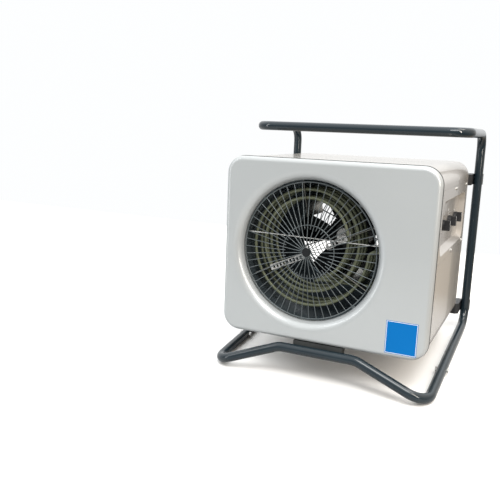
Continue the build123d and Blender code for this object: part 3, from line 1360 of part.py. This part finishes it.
export_step(front_support_pad.part, "parts/front_support_pad.step")

# Bolts of the saddle: two into the bar from behind, two into the base shell.
with BuildPart() as front_pad_bolts:
    with BuildSketch(front(24.3, 0, KINK_Z)):
        with Locations((-PAD_BOLT_X, 0), (PAD_BOLT_X, 0)):
            Circle(5.0)
    extrude(amount=-3.0)
    with BuildSketch(front(24.4, 0, KINK_Z)):
        with Locations((-PAD_BOLT_X, 0), (PAD_BOLT_X, 0)):
            Circle(2.4)
    extrude(amount=21)
    with BuildSketch(level(-9.4, 0, PAD_BOLT_Y)):
        with Locations((-PAD_BOLT_X, 0), (PAD_BOLT_X, 0)):
            Circle(6.0)
    extrude(amount=-3.4)
    with BuildSketch(level(-9.5, 0, PAD_BOLT_Y)):
        with Locations((-PAD_BOLT_X, 0), (PAD_BOLT_X, 0)):
            Circle(3.0)
    extrude(amount=20)
    with BuildSketch(level(BASE_TOP + 0.2, -PAD_BOLT_X, PAD_BOLT_Y), level(BASE_TOP + 0.2, PAD_BOLT_X, PAD_BOLT_Y)):
        RegularPolygon(5.8, 6)
        Circle(2.9, mode=Mode.SUBTRACT)
    extrude(amount=4.5)
front_pad_bolts.part.label = "front_pad_bolts"
export_step(front_pad_bolts.part, "parts/front_pad_bolts.step")
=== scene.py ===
import json
import math

import bmesh
import bpy
from mathutils import Matrix, Vector


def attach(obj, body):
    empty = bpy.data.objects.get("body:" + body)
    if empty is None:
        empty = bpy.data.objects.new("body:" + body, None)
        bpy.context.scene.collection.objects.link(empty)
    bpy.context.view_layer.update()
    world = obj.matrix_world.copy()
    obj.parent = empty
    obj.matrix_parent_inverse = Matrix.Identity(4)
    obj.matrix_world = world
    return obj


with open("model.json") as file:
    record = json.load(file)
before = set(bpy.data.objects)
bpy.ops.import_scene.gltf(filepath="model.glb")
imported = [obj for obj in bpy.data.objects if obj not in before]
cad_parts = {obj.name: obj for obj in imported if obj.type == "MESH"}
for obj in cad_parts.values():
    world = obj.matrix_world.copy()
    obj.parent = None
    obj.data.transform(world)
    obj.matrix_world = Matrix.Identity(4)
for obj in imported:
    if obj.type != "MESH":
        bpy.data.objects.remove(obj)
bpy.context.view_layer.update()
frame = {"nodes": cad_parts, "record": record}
nodes = frame["nodes"]

# ---------------------------------------------------------------------------
# Frames. The housing leans back; H() takes millimetres of its own frame
# (x right, y back from the front panel's face, z up from its lower edge).
# ---------------------------------------------------------------------------
T = math.radians(6.27)
SHIFT_Y, FOOT = -275.42, 99.85
BACK = Vector((0, math.cos(T), -math.sin(T)))
UP = Vector((0, math.sin(T), math.cos(T)))
FAN_X, FAN_Z = -43.0, 221.0


def H(x, y, z):
    return Vector((
        x,
        y * math.cos(T) + z * math.sin(T) + SHIFT_Y,
        -y * math.sin(T) + z * math.cos(T) + FOOT,
    )) / 1000.0


def HD(x, y, z):
    """A direction of the housing's frame."""
    return Vector((x, y * math.cos(T) + z * math.sin(T), -y * math.sin(T) + z * math.cos(T)))


# ---------------------------------------------------------------------------
# Node helpers
# ---------------------------------------------------------------------------
class Mat:
    """Small helper around a node tree."""

    def __init__(self, name):
        self.m = bpy.data.materials.new(name)
        self.m.use_nodes = True
        self.t = self.m.node_tree
        self.t.nodes.clear()
        self.out = self.t.nodes.new("ShaderNodeOutputMaterial")
        self.b = self.t.nodes.new("ShaderNodeBsdfPrincipled")
        self.t.links.new(self.b.outputs[0], self.out.inputs[0])
        self.tc = self.t.nodes.new("ShaderNodeTexCoord")

    def node(self, kind, **props):
        n = self.t.nodes.new(kind)
        for k, v in props.items():
            setattr(n, k, v)
        return n

    def link(self, a, b):
        self.t.links.new(a, b)

    def set(self, **values):
        for k, v in values.items():
            self.b.inputs[k.replace("_", " ")].default_value = v

    def noise(self, scale, detail=3.0, rough=0.55, vec=None, dist=0.0):
        n = self.node("ShaderNodeTexNoise")
        n.inputs["Scale"].default_value = scale
        n.inputs["Detail"].default_value = detail
        n.inputs["Roughness"].default_value = rough
        n.inputs["Distortion"].default_value = dist
        self.link(vec or self.tc.outputs["Object"], n.inputs["Vector"])
        return n.outputs["Fac"]

    def ramp(self, fac, stops, interp="LINEAR"):
        r = self.node("ShaderNodeValToRGB")
        r.color_ramp.interpolation = interp
        e = r.color_ramp.elements
        while len(e) < len(stops):
            e.new(0.5)
        for el, (p, c) in zip(e, stops):
            el.position = p
            el.color = c if len(c) == 4 else (*c, 1)
        self.link(fac, r.inputs[0])
        return r.outputs[0]

    def maprange(self, fac, a, b, c, d):
        n = self.node("ShaderNodeMapRange")
        for i, v in zip(("From Min", "From Max", "To Min", "To Max"), (a, b, c, d)):
            n.inputs[i].default_value = v
        self.link(fac, n.inputs["Value"])
        return n.outputs[0]

    def mix(self, fac, a, b, mode="MIX"):
        n = self.node("ShaderNodeMix", data_type="RGBA", blend_type=mode)
        if isinstance(fac, (int, float)):
            n.inputs[0].default_value = fac
        else:
            self.link(fac, n.inputs[0])
        for sock, v in ((n.inputs[6], a), (n.inputs[7], b)):
            if isinstance(v, (tuple, list)):
                sock.default_value = v if len(v) == 4 else (*v, 1)
            else:
                self.link(v, sock)
        return n.outputs[2]

    def math(self, op, a, b=0.0):
        n = self.node("ShaderNodeMath", operation=op)
        for sock, v in ((n.inputs[0], a), (n.inputs[1], b)):
            if isinstance(v, (int, float)):
                sock.default_value = v
            else:
                self.link(v, sock)
        return n.outputs[0]

    def bump(self, height, strength, dist=0.0005, after=None):
        n = self.node("ShaderNodeBump")
        n.inputs["Strength"].default_value = strength
        n.inputs["Distance"].default_value = dist
        self.link(height, n.inputs["Height"])
        if after is not None:
            self.link(after, n.inputs["Normal"])
        return n.outputs[0]

    def mapped(self, scale=(1, 1, 1), rot=(0, 0, 0), loc=(0, 0, 0)):
        n = self.node("ShaderNodeMapping")
        n.inputs["Scale"].default_value = scale
        n.inputs["Rotation"].default_value = rot
        n.inputs["Location"].default_value = loc
        self.link(self.tc.outputs["Object"], n.inputs["Vector"])
        return n.outputs[0]

    def color(self, sock):
        self.link(sock, self.b.inputs["Base Color"])

    def rough(self, sock):
        self.link(sock, self.b.inputs["Roughness"])

    def normal(self, sock):
        self.link(sock, self.b.inputs["Normal"])


def edge_wear(M, radius=0.0015):
    """Bright where an edge is convex: from Geometry's pointiness."""
    g = M.node("ShaderNodeNewGeometry")
    return M.maprange(g.outputs["Pointiness"], 0.515, 0.56, 0.0, 1.0)


# ---------------------------------------------------------------------------
# Materials
# ---------------------------------------------------------------------------
def panel_paint(name="silver_grey_paint", lo=(0.385, 0.408, 0.414), hi=(0.425, 0.450, 0.457), metallic=0.25,
                rough=(0.27, 0.35), coat=0.45):
    M = Mat(name)
    big = M.noise(2.2, 2.0)
    fine = M.noise(900.0, 2.0)
    col = M.ramp(big, [(0.1, lo), (0.9, hi)])
    spark = M.ramp(fine, [(0.1, (0.98, 0.98, 0.98)), (0.9, (1.02, 1.02, 1.02))])
    M.color(M.mix(1.0, col, spark, "MULTIPLY"))
    M.set(Metallic=metallic, Coat_Weight=coat, Coat_Roughness=0.06)
    M.rough(M.maprange(M.noise(5.0, 1.0), 0.0, 1.0, *rough))
    peel = M.noise(260.0, 2.0)
    wave = M.noise(7.0, 1.0)
    M.normal(M.bump(peel, 0.03, 0.0003, M.bump(wave, 0.03, 0.002)))
    return M.m


def frame_paint():
    M = Mat("slate_gloss_paint")
    big = M.noise(9.0, 2.0)
    M.color(M.ramp(big, [(0.3, (0.0075, 0.0150, 0.0205)), (0.7, (0.0100, 0.0195, 0.0265))]))
    M.set(Metallic=0.0)
    M.b.inputs["Specular IOR Level"].default_value = 0.5
    M.rough(M.maprange(M.noise(30.0, 3.0), 0.3, 0.7, 0.10, 0.15))
    M.normal(M.bump(M.noise(220.0, 2.0), 0.04, 0.0004, M.bump(M.noise(24.0, 2.0), 0.05, 0.001)))
    return M.m


def grille_paint():
    M = Mat("grille_grey_wire")
    wire = M.ramp(M.noise(40.0, 3.0), [(0.3, (0.080, 0.095, 0.100)), (0.7, (0.118, 0.136, 0.142))])
    # painted shade: the hub disc, about 10 mm round the middle of the wires, is painted near black so that it reads as
    # the dark shade of the interior behind the grille
    painted_hub_shade = M.node("ShaderNodeVectorMath", operation="DISTANCE")
    M.link(M.tc.outputs["Object"], painted_hub_shade.inputs[0])
    painted_hub_shade.inputs[1].default_value = H(FAN_X, 7.3, FAN_Z)
    M.color(M.mix(M.maprange(painted_hub_shade.outputs["Value"], 0.0106, 0.0112, 1.0, 0.0), wire, (0.012, 0.014, 0.015)))
    M.set(Metallic=0.5)
    M.rough(M.maprange(M.noise(120.0, 2.0), 0.3, 0.7, 0.3, 0.42))
    M.normal(M.bump(M.noise(500.0, 2.0), 0.08, 0.0003))
    return M.m


def drum_steel():
    M = Mat("drum_blue_grey")
    n1 = M.noise(6.0, 4.0)
    streak = M.noise(1.0, 4.0, vec=M.mapped((60, 3, 60)))
    col = M.ramp(n1, [(0.25, (0.062, 0.084, 0.098)), (0.75, (0.096, 0.124, 0.140))])
    col = M.mix(0.25, col, M.ramp(streak, [(0.3, (0.03, 0.042, 0.05)), (0.7, (0.12, 0.145, 0.16))]))
    M.color(col)
    M.set(Metallic=0.6)
    M.rough(M.maprange(streak, 0.2, 0.8, 0.24, 0.34))
    M.normal(M.bump(M.noise(180.0, 2.0), 0.06, 0.0004))
    return M.m


def element_metal():
    M = Mat("element_olive_oxide")
    n1 = M.noise(18.0, 4.0)
    n2 = M.noise(140.0, 3.0)
    col = M.ramp(n1, [(0.25, (0.088, 0.100, 0.060)), (0.5, (0.130, 0.145, 0.092)), (0.8, (0.185, 0.198, 0.135))])
    col = M.mix(M.maprange(n2, 0.4, 0.7, 0.0, 0.5), col, (0.08, 0.085, 0.06))
    M.color(col)
    M.set(Metallic=0.45)
    M.rough(M.maprange(n2, 0.2, 0.8, 0.38, 0.6))
    M.normal(M.bump(n2, 0.12, 0.0003))
    return M.m


def bright_steel():
    M = Mat("bright_steel")
    streak = M.noise(1.0, 4.0, vec=M.mapped((300, 20, 300)))
    M.color(M.ramp(streak, [(0.3, (0.50, 0.50, 0.48)), (0.7, (0.70, 0.70, 0.68))]))
    M.set(Metallic=1.0)
    M.rough(M.maprange(streak, 0.2, 0.8, 0.2, 0.36))
    M.normal(M.bump(streak, 0.05, 0.0002))
    return M.m


def comb_steel():
    M = Mat("comb_heat_tinted_steel")
    streak = M.noise(1.0, 4.0, vec=M.mapped((200, 20, 200)))
    M.color(M.ramp(streak, [(0.3, (0.20, 0.20, 0.18)), (0.7, (0.34, 0.33, 0.30))]))
    M.set(Metallic=1.0)
    M.rough(M.maprange(streak, 0.2, 0.8, 0.12, 0.2))
    return M.m


def zinc_steel():
    M = Mat("zinc_plated")
    n = M.noise(90.0, 3.0)
    M.color(M.ramp(n, [(0.3, (0.46, 0.46, 0.44)), (0.7, (0.62, 0.62, 0.61))]))
    M.set(Metallic=0.9)
    M.rough(M.maprange(n, 0.2, 0.8, 0.28, 0.42))
    M.normal(M.bump(n, 0.06, 0.0002))
    return M.m


def black_paint(name, base=(0.012, 0.014, 0.016), lo=0.35, hi=0.5):
    M = Mat(name)
    n = M.noise(22.0, 3.0)
    b = base
    M.color(M.ramp(n, [(0.3, b), (0.7, tuple(min(1, v * 1.7) for v in b))]))
    M.rough(M.maprange(n, 0.2, 0.8, lo, hi))
    M.normal(M.bump(M.noise(300.0, 2.0), 0.08, 0.0003))
    return M.m


def black_plastic():
    M = Mat("moulded_black_plastic")
    n = M.noise(16.0, 3.0)
    M.color(M.ramp(n, [(0.3, (0.010, 0.011, 0.013)), (0.7, (0.018, 0.019, 0.021))]))
    M.rough(M.maprange(M.noise(60.0, 2.0), 0.2, 0.8, 0.38, 0.52))
    M.b.inputs["Specular IOR Level"].default_value = 0.45
    M.normal(M.bump(M.noise(1400.0, 2.0), 0.12, 0.0002))
    return M.m


def pale_plastic():
    M = Mat("pale_plastic")
    n = M.noise(16.0, 3.0)
    M.color(M.ramp(n, [(0.3, (0.50, 0.50, 0.46)), (0.7, (0.60, 0.60, 0.55))]))
    M.rough(M.maprange(n, 0.2, 0.8, 0.34, 0.46))
    M.normal(M.bump(M.noise(1200.0, 2.0), 0.06, 0.0002))
    return M.m


def pad_rubber():
    M = Mat("pad_rubber")
    n = M.noise(30.0, 3.0)
    M.color(M.ramp(n, [(0.3, (0.012, 0.014, 0.014)), (0.7, (0.024, 0.027, 0.027))]))
    M.rough(M.maprange(n, 0.2, 0.8, 0.6, 0.75))
    M.normal(M.bump(M.noise(700.0, 3.0), 0.2, 0.0003))
    return M.m


def label_film():
    M = Mat("label_blue_film")
    n = M.noise(5.0, 2.0)
    M.color(M.ramp(n, [(0.3, (0.0, 0.120, 0.375)), (0.7, (0.0, 0.132, 0.405))]))
    M.b.inputs["Specular IOR Level"].default_value = 0.12
    M.rough(M.maprange(M.noise(60.0, 2.0), 0.2, 0.8, 0.34, 0.42))
    M.normal(M.bump(M.noise(200.0, 2.0), 0.03, 0.0002))
    return M.m


def white_print():
    M = Mat("white_print")
    n = M.noise(60.0, 2.0)
    M.color(M.ramp(n, [(0.3, (0.78, 0.79, 0.79)), (0.7, (0.84, 0.85, 0.85))]))
    M.rough(M.maprange(n, 0.2, 0.8, 0.35, 0.45))
    return M.m


# painted shade: the dark colour of the screws' cross recesses, standing in for the shade inside them
def dark_print():
    M = Mat("dark_print")
    n = M.noise(60.0, 2.0)
    M.color(M.ramp(n, [(0.3, (0.03, 0.03, 0.035)), (0.7, (0.05, 0.05, 0.055))]))
    M.rough(M.maprange(n, 0.2, 0.8, 0.4, 0.5))
    return M.m


MATS = {
    "panel_paint": panel_paint(),
    "grille_steel": grille_paint(),
    "drum_steel": drum_steel(),
    "element_metal": element_metal(),
    "bright_steel": bright_steel(),
    "fan_metal": black_paint("fan_black", (0.010, 0.012, 0.014), 0.3, 0.45),
    "motor_metal": black_paint("motor_black"),
    "black_plastic": black_plastic(),
    "pale_plastic": pale_plastic(),
    "pad_rubber": pad_rubber(),
    "frame_paint": frame_paint(),
    "zinc_steel": zinc_steel(),
    "label_film": label_film(),
}
PRINT, RECESS_SHADE = white_print(), dark_print()

COMB = comb_steel()
# painted reflection: the casing's silver grey is tinted warm beige, standing in for the warm surroundings reflected in
# its sides and top
CASING_WARM_REFLECTION = panel_paint("casing_paint_warm_reflection", (0.385, 0.366, 0.338), (0.435, 0.414, 0.384), 0.30, (0.20, 0.28), 0.40)
slot_of = {s["node"]: s["material_slot"] for s in frame["record"]["subparts"]}
for name, obj in nodes.items():
    m = MATS[slot_of[name]]
    # the casing parts take the warm-tinted paint, a painted reflection
    if name in ("top_cover", "base_shell", "control_panel"):
        m = CASING_WARM_REFLECTION
    if name in ("motor_support_strap", "motor_pedestal"):
        m = MATS["motor_metal"]
    if name == "element_comb_plates":
        m = COMB
    if not obj.material_slots:
        obj.data.materials.append(m)
    for s in obj.material_slots:
        s.material = m

# ---------------------------------------------------------------------------
# Small printed details and thin dark plates of painted shade. Every outline is given in millimetres of
# the housing's frame, on a plane parallel to its front or to its side.
def prism(name, outlines, place, t, mat, body="heater"):
    """Thin plate from 2-D outlines; place(u, v, w) gives a point in metres."""
    bm = bmesh.new()
    for ring in outlines:
        outer, inner = ring if isinstance(ring, tuple) else (ring, None)
        if inner is None:
            low = [bm.verts.new(place(u, v, 0)) for u, v in outer]
            top = [bm.verts.new(place(u, v, t)) for u, v in outer]
            bm.faces.new(top)
            bm.faces.new(low[::-1])
            n = len(low)
            for i in range(n):
                bm.faces.new((low[i], low[(i + 1) % n], top[(i + 1) % n], top[i]))
        else:
            rings = []
            for pts, w in ((outer, 0), (outer, t), (inner, t), (inner, 0)):
                rings.append([bm.verts.new(place(u, v, w)) for u, v in pts])
            n = len(outer)
            for a in range(4):
                ra, rb = rings[a], rings[(a + 1) % 4]
                for i in range(n):
                    bm.faces.new((ra[i], ra[(i + 1) % n], rb[(i + 1) % n], rb[i]))
    bmesh.ops.recalc_face_normals(bm, faces=bm.faces)
    me = bpy.data.meshes.new(name)
    bm.to_mesh(me)
    bm.free()
    me.materials.append(mat)
    o = bpy.data.objects.new(name, me)
    bpy.context.scene.collection.objects.link(o)
    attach(o, body)
    return o


def on_side(x0):
    return lambda u, v, w: H(x0 + w, u, v)


def on_left(x0):
    return lambda u, v, w: H(x0 - w, u, v)


def on_front(y0):
    return lambda u, v, w: H(u, y0 - w, v)


def on_back(y0):
    return lambda u, v, w: H(u, y0 + w, v)


def rounded(cx, cy, w, h, r, n=8):
    pts = []
    for k, (sx, sy) in enumerate(((1, 1), (-1, 1), (-1, -1), (1, -1))):
        ox, oy = cx + sx * (w / 2 - r), cy + sy * (h / 2 - r)
        for i in range(n + 1):
            a = math.radians(90 * k + 90 * i / n)
            pts.append((ox + r * math.cos(a), oy + r * math.sin(a)))
    return pts


def bar(cx, cy, turn, r0, r1, w):
    """Radial bar round a dial; turn is clockwise from straight up as the dial is looked at."""
    a = math.radians(turn)
    d, q = (math.sin(a), math.cos(a)), (math.cos(a), -math.sin(a))
    pts = []
    for s, r in ((-1, r0), (1, r0), (1, r1), (-1, r1)):
        pts.append((cx + d[0] * r + q[0] * s * w / 2, cy + d[1] * r + q[1] * s * w / 2))
    return pts


def disc(cx, cy, r, n=16):
    return [(cx + r * math.cos(math.tau * i / n), cy + r * math.sin(math.tau * i / n)) for i in range(n)]


def cross(cx, cy, turn=20.0, a=2.5, b=0.45):
    pts = []
    for x, y in ((b, b), (b, a), (-b, a), (-b, b), (-a, b), (-a, -b), (-b, -b), (-b, -a), (b, -a), (b, -b), (a, -b), (a, b)):
        t = math.radians(turn)
        pts.append((cx + x * math.cos(t) - y * math.sin(t), cy + x * math.sin(t) + y * math.cos(t)))
    return pts


KNOBS = {"heat": (132.0, 301.0), "fan": (232.0, 301.0), "thermostat": (328.0, 301.0)}
POCKET_FLOOR = 245.0
for name, turns in (("heat", (0, 45, 90, 135)), ("fan", (0, 45, 90))):
    ky, kz = KNOBS[name]
    prism(name + "_dial_marks", [bar(ky, kz, a, 17.0, 21.5, 1.6) for a in turns], on_side(POCKET_FLOOR), 0.15, PRINT)
ky, kz = KNOBS["thermostat"]
prism("thermostat_dial_marks", [bar(ky, kz, a, 17.0, 19.0 + 3.2 * a / 270, 1.3) for a in range(0, 271, 27)],
      on_side(POCKET_FLOOR), 0.15, PRINT)


def numeral(name, text, y, z, size):
    c = bpy.data.curves.new(name, "FONT")
    c.body = text
    c.size = size / 1000
    c.align_x, c.align_y = "CENTER", "CENTER"
    c.extrude = 0.00006
    tmp = bpy.data.objects.new(name + "_tmp", c)
    bpy.context.scene.collection.objects.link(tmp)
    bpy.context.view_layer.update()
    me = bpy.data.meshes.new_from_object(tmp)
    bpy.data.objects.remove(tmp)
    ax, ay, az, o = HD(0, 1, 0), HD(0, 0, 1), Vector((1, 0, 0)), H(POCKET_FLOOR + 0.06, y, z)
    me.transform(Matrix(((ax.x, ay.x, az.x, o.x), (ax.y, ay.y, az.y, o.y), (ax.z, ay.z, az.z, o.z), (0, 0, 0, 1))))
    me.name = name
    me.materials.clear()
    me.materials.append(PRINT)
    ob = bpy.data.objects.new(name, me)
    bpy.context.scene.collection.objects.link(ob)
    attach(ob, "heater")


for name, turns in (("heat", (0, 45, 90, 135)), ("fan", (0, 45, 90))):
    ky, kz = KNOBS[name]
    for k, a in enumerate(turns):
        r = math.radians(a)
        numeral(f"{name}_dial_{k}", str(k), ky + 26.5 * math.sin(r), kz + 26.5 * math.cos(r), 8.0)

# pointer line on each knob's grip
for name, body in (("heat", "heat_selector"), ("fan", "fan_selector"), ("thermostat", "thermostat_dial")):
    ky, kz = KNOBS[name]
    prism(name + "_pointer", [bar(ky, kz, 0, 1.5, 11.2, 1.7)], on_side(265.6), 0.12, PRINT, body)

# painted shade: flat dark crosses on the screw heads stand in for the shade inside their cross recesses
SIDE_HEADS, LEFT_HEADS = (((27.0, 380.5), (240.0, 380.5), (430.0, 380.5), (27.0, 225.5), (240.0, 225.5), (430.0, 225.5)),
                         ((27.0, 380.5), (240.0, 380.5), (430.0, 380.5)))
prism("side_screw_recess_shade", [cross(y, z, 15 + 37 * k) for k, (y, z) in enumerate(SIDE_HEADS)], on_side(260.4), 0.08, RECESS_SHADE)
prism("left_screw_recess_shade", [cross(y, z, 40 + 29 * k) for k, (y, z) in enumerate(LEFT_HEADS)], on_left(-260.4), 0.08, RECESS_SHADE)

# pale border of the blank label
prism("label_border", [(rounded(200.2, 50.0, 70.6, 75.6, 1.2), rounded(200.2, 50.0, 68.6, 73.6, 0.8))],
      on_front(-0.38), 0.10, PRINT)

# dark rubber strip in the joint between the front panel and the casing, standing in for the shade in the seam's gap
# (painted shadow)
prism("front_seam_shade_strip", [(rounded(0, 221.0, 522.0, 444.0, 43.0, 14), rounded(0, 221.0, 509.0, 431.0, 36.5, 14))],
      on_back(18.05), 0.85, MATS["pad_rubber"])

# ---------------------------------------------------------------------------
# Floor, light, camera
# ---------------------------------------------------------------------------
floor_mesh = bpy.data.meshes.new("floor")
bm = bmesh.new()
# a broad sheet of pale paper that ends behind and to the right of the object
sheet = [(-4.0, -4.0), (0.85, -4.0), (0.85, 1.02), (-4.0, 1.02)]
bm.faces.new([bm.verts.new((x, y, 0)) for x, y in sheet])
bm.to_mesh(floor_mesh)
bm.free()
floor = bpy.data.objects.new("floor", floor_mesh)
bpy.context.scene.collection.objects.link(floor)
floor.location = (0, 0, -0.0002)
FM = Mat("floor_white")
pale = FM.ramp(FM.noise(0.8, 2.0), [(0.3, (0.90, 0.90, 0.89)), (0.7, (0.92, 0.92, 0.91))])
# painted shade: for all rays but camera rays the floor is painted darker, with a warm, darker painted shadow behind
# and right of the object, so the object gets less light back from the floor and its sides reflect a dimmer, warmer
# floor
where = FM.node("ShaderNodeSeparateXYZ")
FM.link(FM.tc.outputs["Object"], where.inputs[0])
painted_shadow_mask = FM.math("MULTIPLY", FM.maprange(where.outputs["Y"], 0.20, 0.50, 0.0, 1.0),
                 FM.maprange(where.outputs["X"], 0.18, 0.30, 0.0, 1.0))
painted_shadow_mask = FM.math("MAXIMUM", painted_shadow_mask, FM.maprange(where.outputs["X"], 0.34, 0.60, 0.0, 1.0))
seen = FM.node("ShaderNodeLightPath")
painted_floor_shade = FM.mix(painted_shadow_mask, (0.47, 0.475, 0.48), (0.21, 0.18, 0.14))
FM.color(FM.mix(seen.outputs["Is Camera Ray"], painted_floor_shade, pale))
FM.rough(FM.maprange(FM.noise(3.0, 2.0), 0.2, 0.8, 0.45, 0.5))
floor_mesh.materials.append(FM.m)

world = bpy.data.worlds.new("studio")
bpy.context.scene.world = world
world.use_nodes = True
wt = world.node_tree
bg = wt.nodes["Background"]
bg.inputs[0].default_value = (1.0, 1.0, 1.0, 1)
wtc = wt.nodes.new("ShaderNodeTexCoord")
sep = wt.nodes.new("ShaderNodeSeparateXYZ")
wt.links.new(wtc.outputs["Generated"], sep.inputs[0])


def wmap(sock, a, b, c, d):
    n = wt.nodes.new("ShaderNodeMapRange")
    n.interpolation_type = "SMOOTHSTEP"
    for i, v in zip(("From Min", "From Max", "To Min", "To Max"), (a, b, c, d)):
        n.inputs[i].default_value = v
    wt.links.new(sock, n.inputs["Value"])
    return n.outputs[0]


def wmath(op, a, b):
    n = wt.nodes.new("ShaderNodeMath")
    n.operation = op
    for sock, v in ((n.inputs[0], a), (n.inputs[1], b)):
        if isinstance(v, (int, float)):
            sock.default_value = v
        else:
            wt.links.new(v, sock)
    return n.outputs[0]


# a studio with a white backdrop and a dimmer room in front of it
depth = wmap(sep.outputs["Y"], -0.9, 0.25, 0.36, 1.0)
sky = wmap(sep.outputs["Z"], 0.15, 0.8, 0.0, 1.05)
right_dim = wmap(sep.outputs["X"], 0.15, 0.9, 1.0, 0.80)
below = wmap(sep.outputs["Z"], -0.28, -0.03, 0.42, 1.0)
glow = wmath("MULTIPLY", wmath("MULTIPLY", wmath("ADD", depth, sky), right_dim), below)
tint = wt.nodes.new("ShaderNodeMix")
tint.data_type = "RGBA"
warm = wmap(sep.outputs["X"], 0.1, 0.8, 0.0, 1.0)
tint.inputs[6].default_value = (0.985, 0.995, 1.0, 1)
tint.inputs[7].default_value = (1.0, 0.89, 0.78, 1)
path = wt.nodes.new("ShaderNodeLightPath")
cam_mix = wt.nodes.new("ShaderNodeMix")
cam_mix.data_type = "FLOAT"
wt.links.new(path.outputs["Is Camera Ray"], cam_mix.inputs[0])
wt.links.new(glow, cam_mix.inputs[2])
cam_mix.inputs[3].default_value = 1.0
hue = wmath("MULTIPLY", warm, wmath("SUBTRACT", 1.0, path.outputs["Is Camera Ray"]))
wt.links.new(hue, tint.inputs[0])
wt.links.new(tint.outputs[2], bg.inputs[0])
wt.links.new(cam_mix.outputs[0], bg.inputs[1])


def area(name, loc, target, size, power, color=(1, 1, 1), shape="RECTANGLE", size_y=None):
    d = bpy.data.lights.new(name, "AREA")
    d.shape = shape
    d.size = size
    if size_y:
        d.size_y = size_y
    d.energy = power
    d.color = color
    o = bpy.data.objects.new(name, d)
    bpy.context.scene.collection.objects.link(o)
    o.location = loc
    o.rotation_euler = (Vector(target) - Vector(loc)).to_track_quat("-Z", "Y").to_euler()
    return o


area("key_top", (0.75, -1.45, 2.6), (0, 0, 0.3), 1.5, 44, size_y=1.1)
area("rim_top", (1.1, 0.25, 2.4), (0.15, 0.05, 0.35), 0.8, 13, (1.0, 0.95, 0.88), size_y=0.8)
area("strip_left", (-1.5, -1.3, 0.9), (0, 0, 0.3), 0.16, 7, size_y=1.8)
area("strip_right", (1.75, -1.3, 1.35), (0.1, 0, 0.3), 0.14, 30, (1.0, 0.92, 0.83), size_y=1.8)

cam_data = bpy.data.cameras.new("camera")
cam = bpy.data.objects.new("camera", cam_data)
bpy.context.scene.collection.objects.link(cam)
yaw, pitch, roll = math.radians(25.02), math.radians(10.76), math.radians(2.21)
cy, sy, cp, sp, cr, sr = math.cos(yaw), math.sin(yaw), math.cos(pitch), math.sin(pitch), math.cos(roll), math.sin(roll)
fwd = Vector((-sy * cp, cy * cp, -sp))
right = Vector((cy, sy, 0))
up = right.cross(fwd)
r2 = right * cr + up * sr
u2 = right * -sr + up * cr
r3, u3, f3 = HD(*r2), HD(*u2), HD(*fwd)
M4 = Matrix((
    (r3.x, u3.x, -f3.x, 0),
    (r3.y, u3.y, -f3.y, 0),
    (r3.z, u3.z, -f3.z, 0),
    (0, 0, 0, 1),
))
cam.matrix_world = Matrix.Translation(H(473.9, -1419.3, 508.8)) @ M4
cam_data.sensor_width = 36.0
cam_data.lens = 641.4 / 500 * 36.0
cam_data.clip_start = 0.05
cam_data.clip_end = 200
bpy.context.scene.camera = cam

bpy.context.scene.view_settings.view_transform = "Standard"
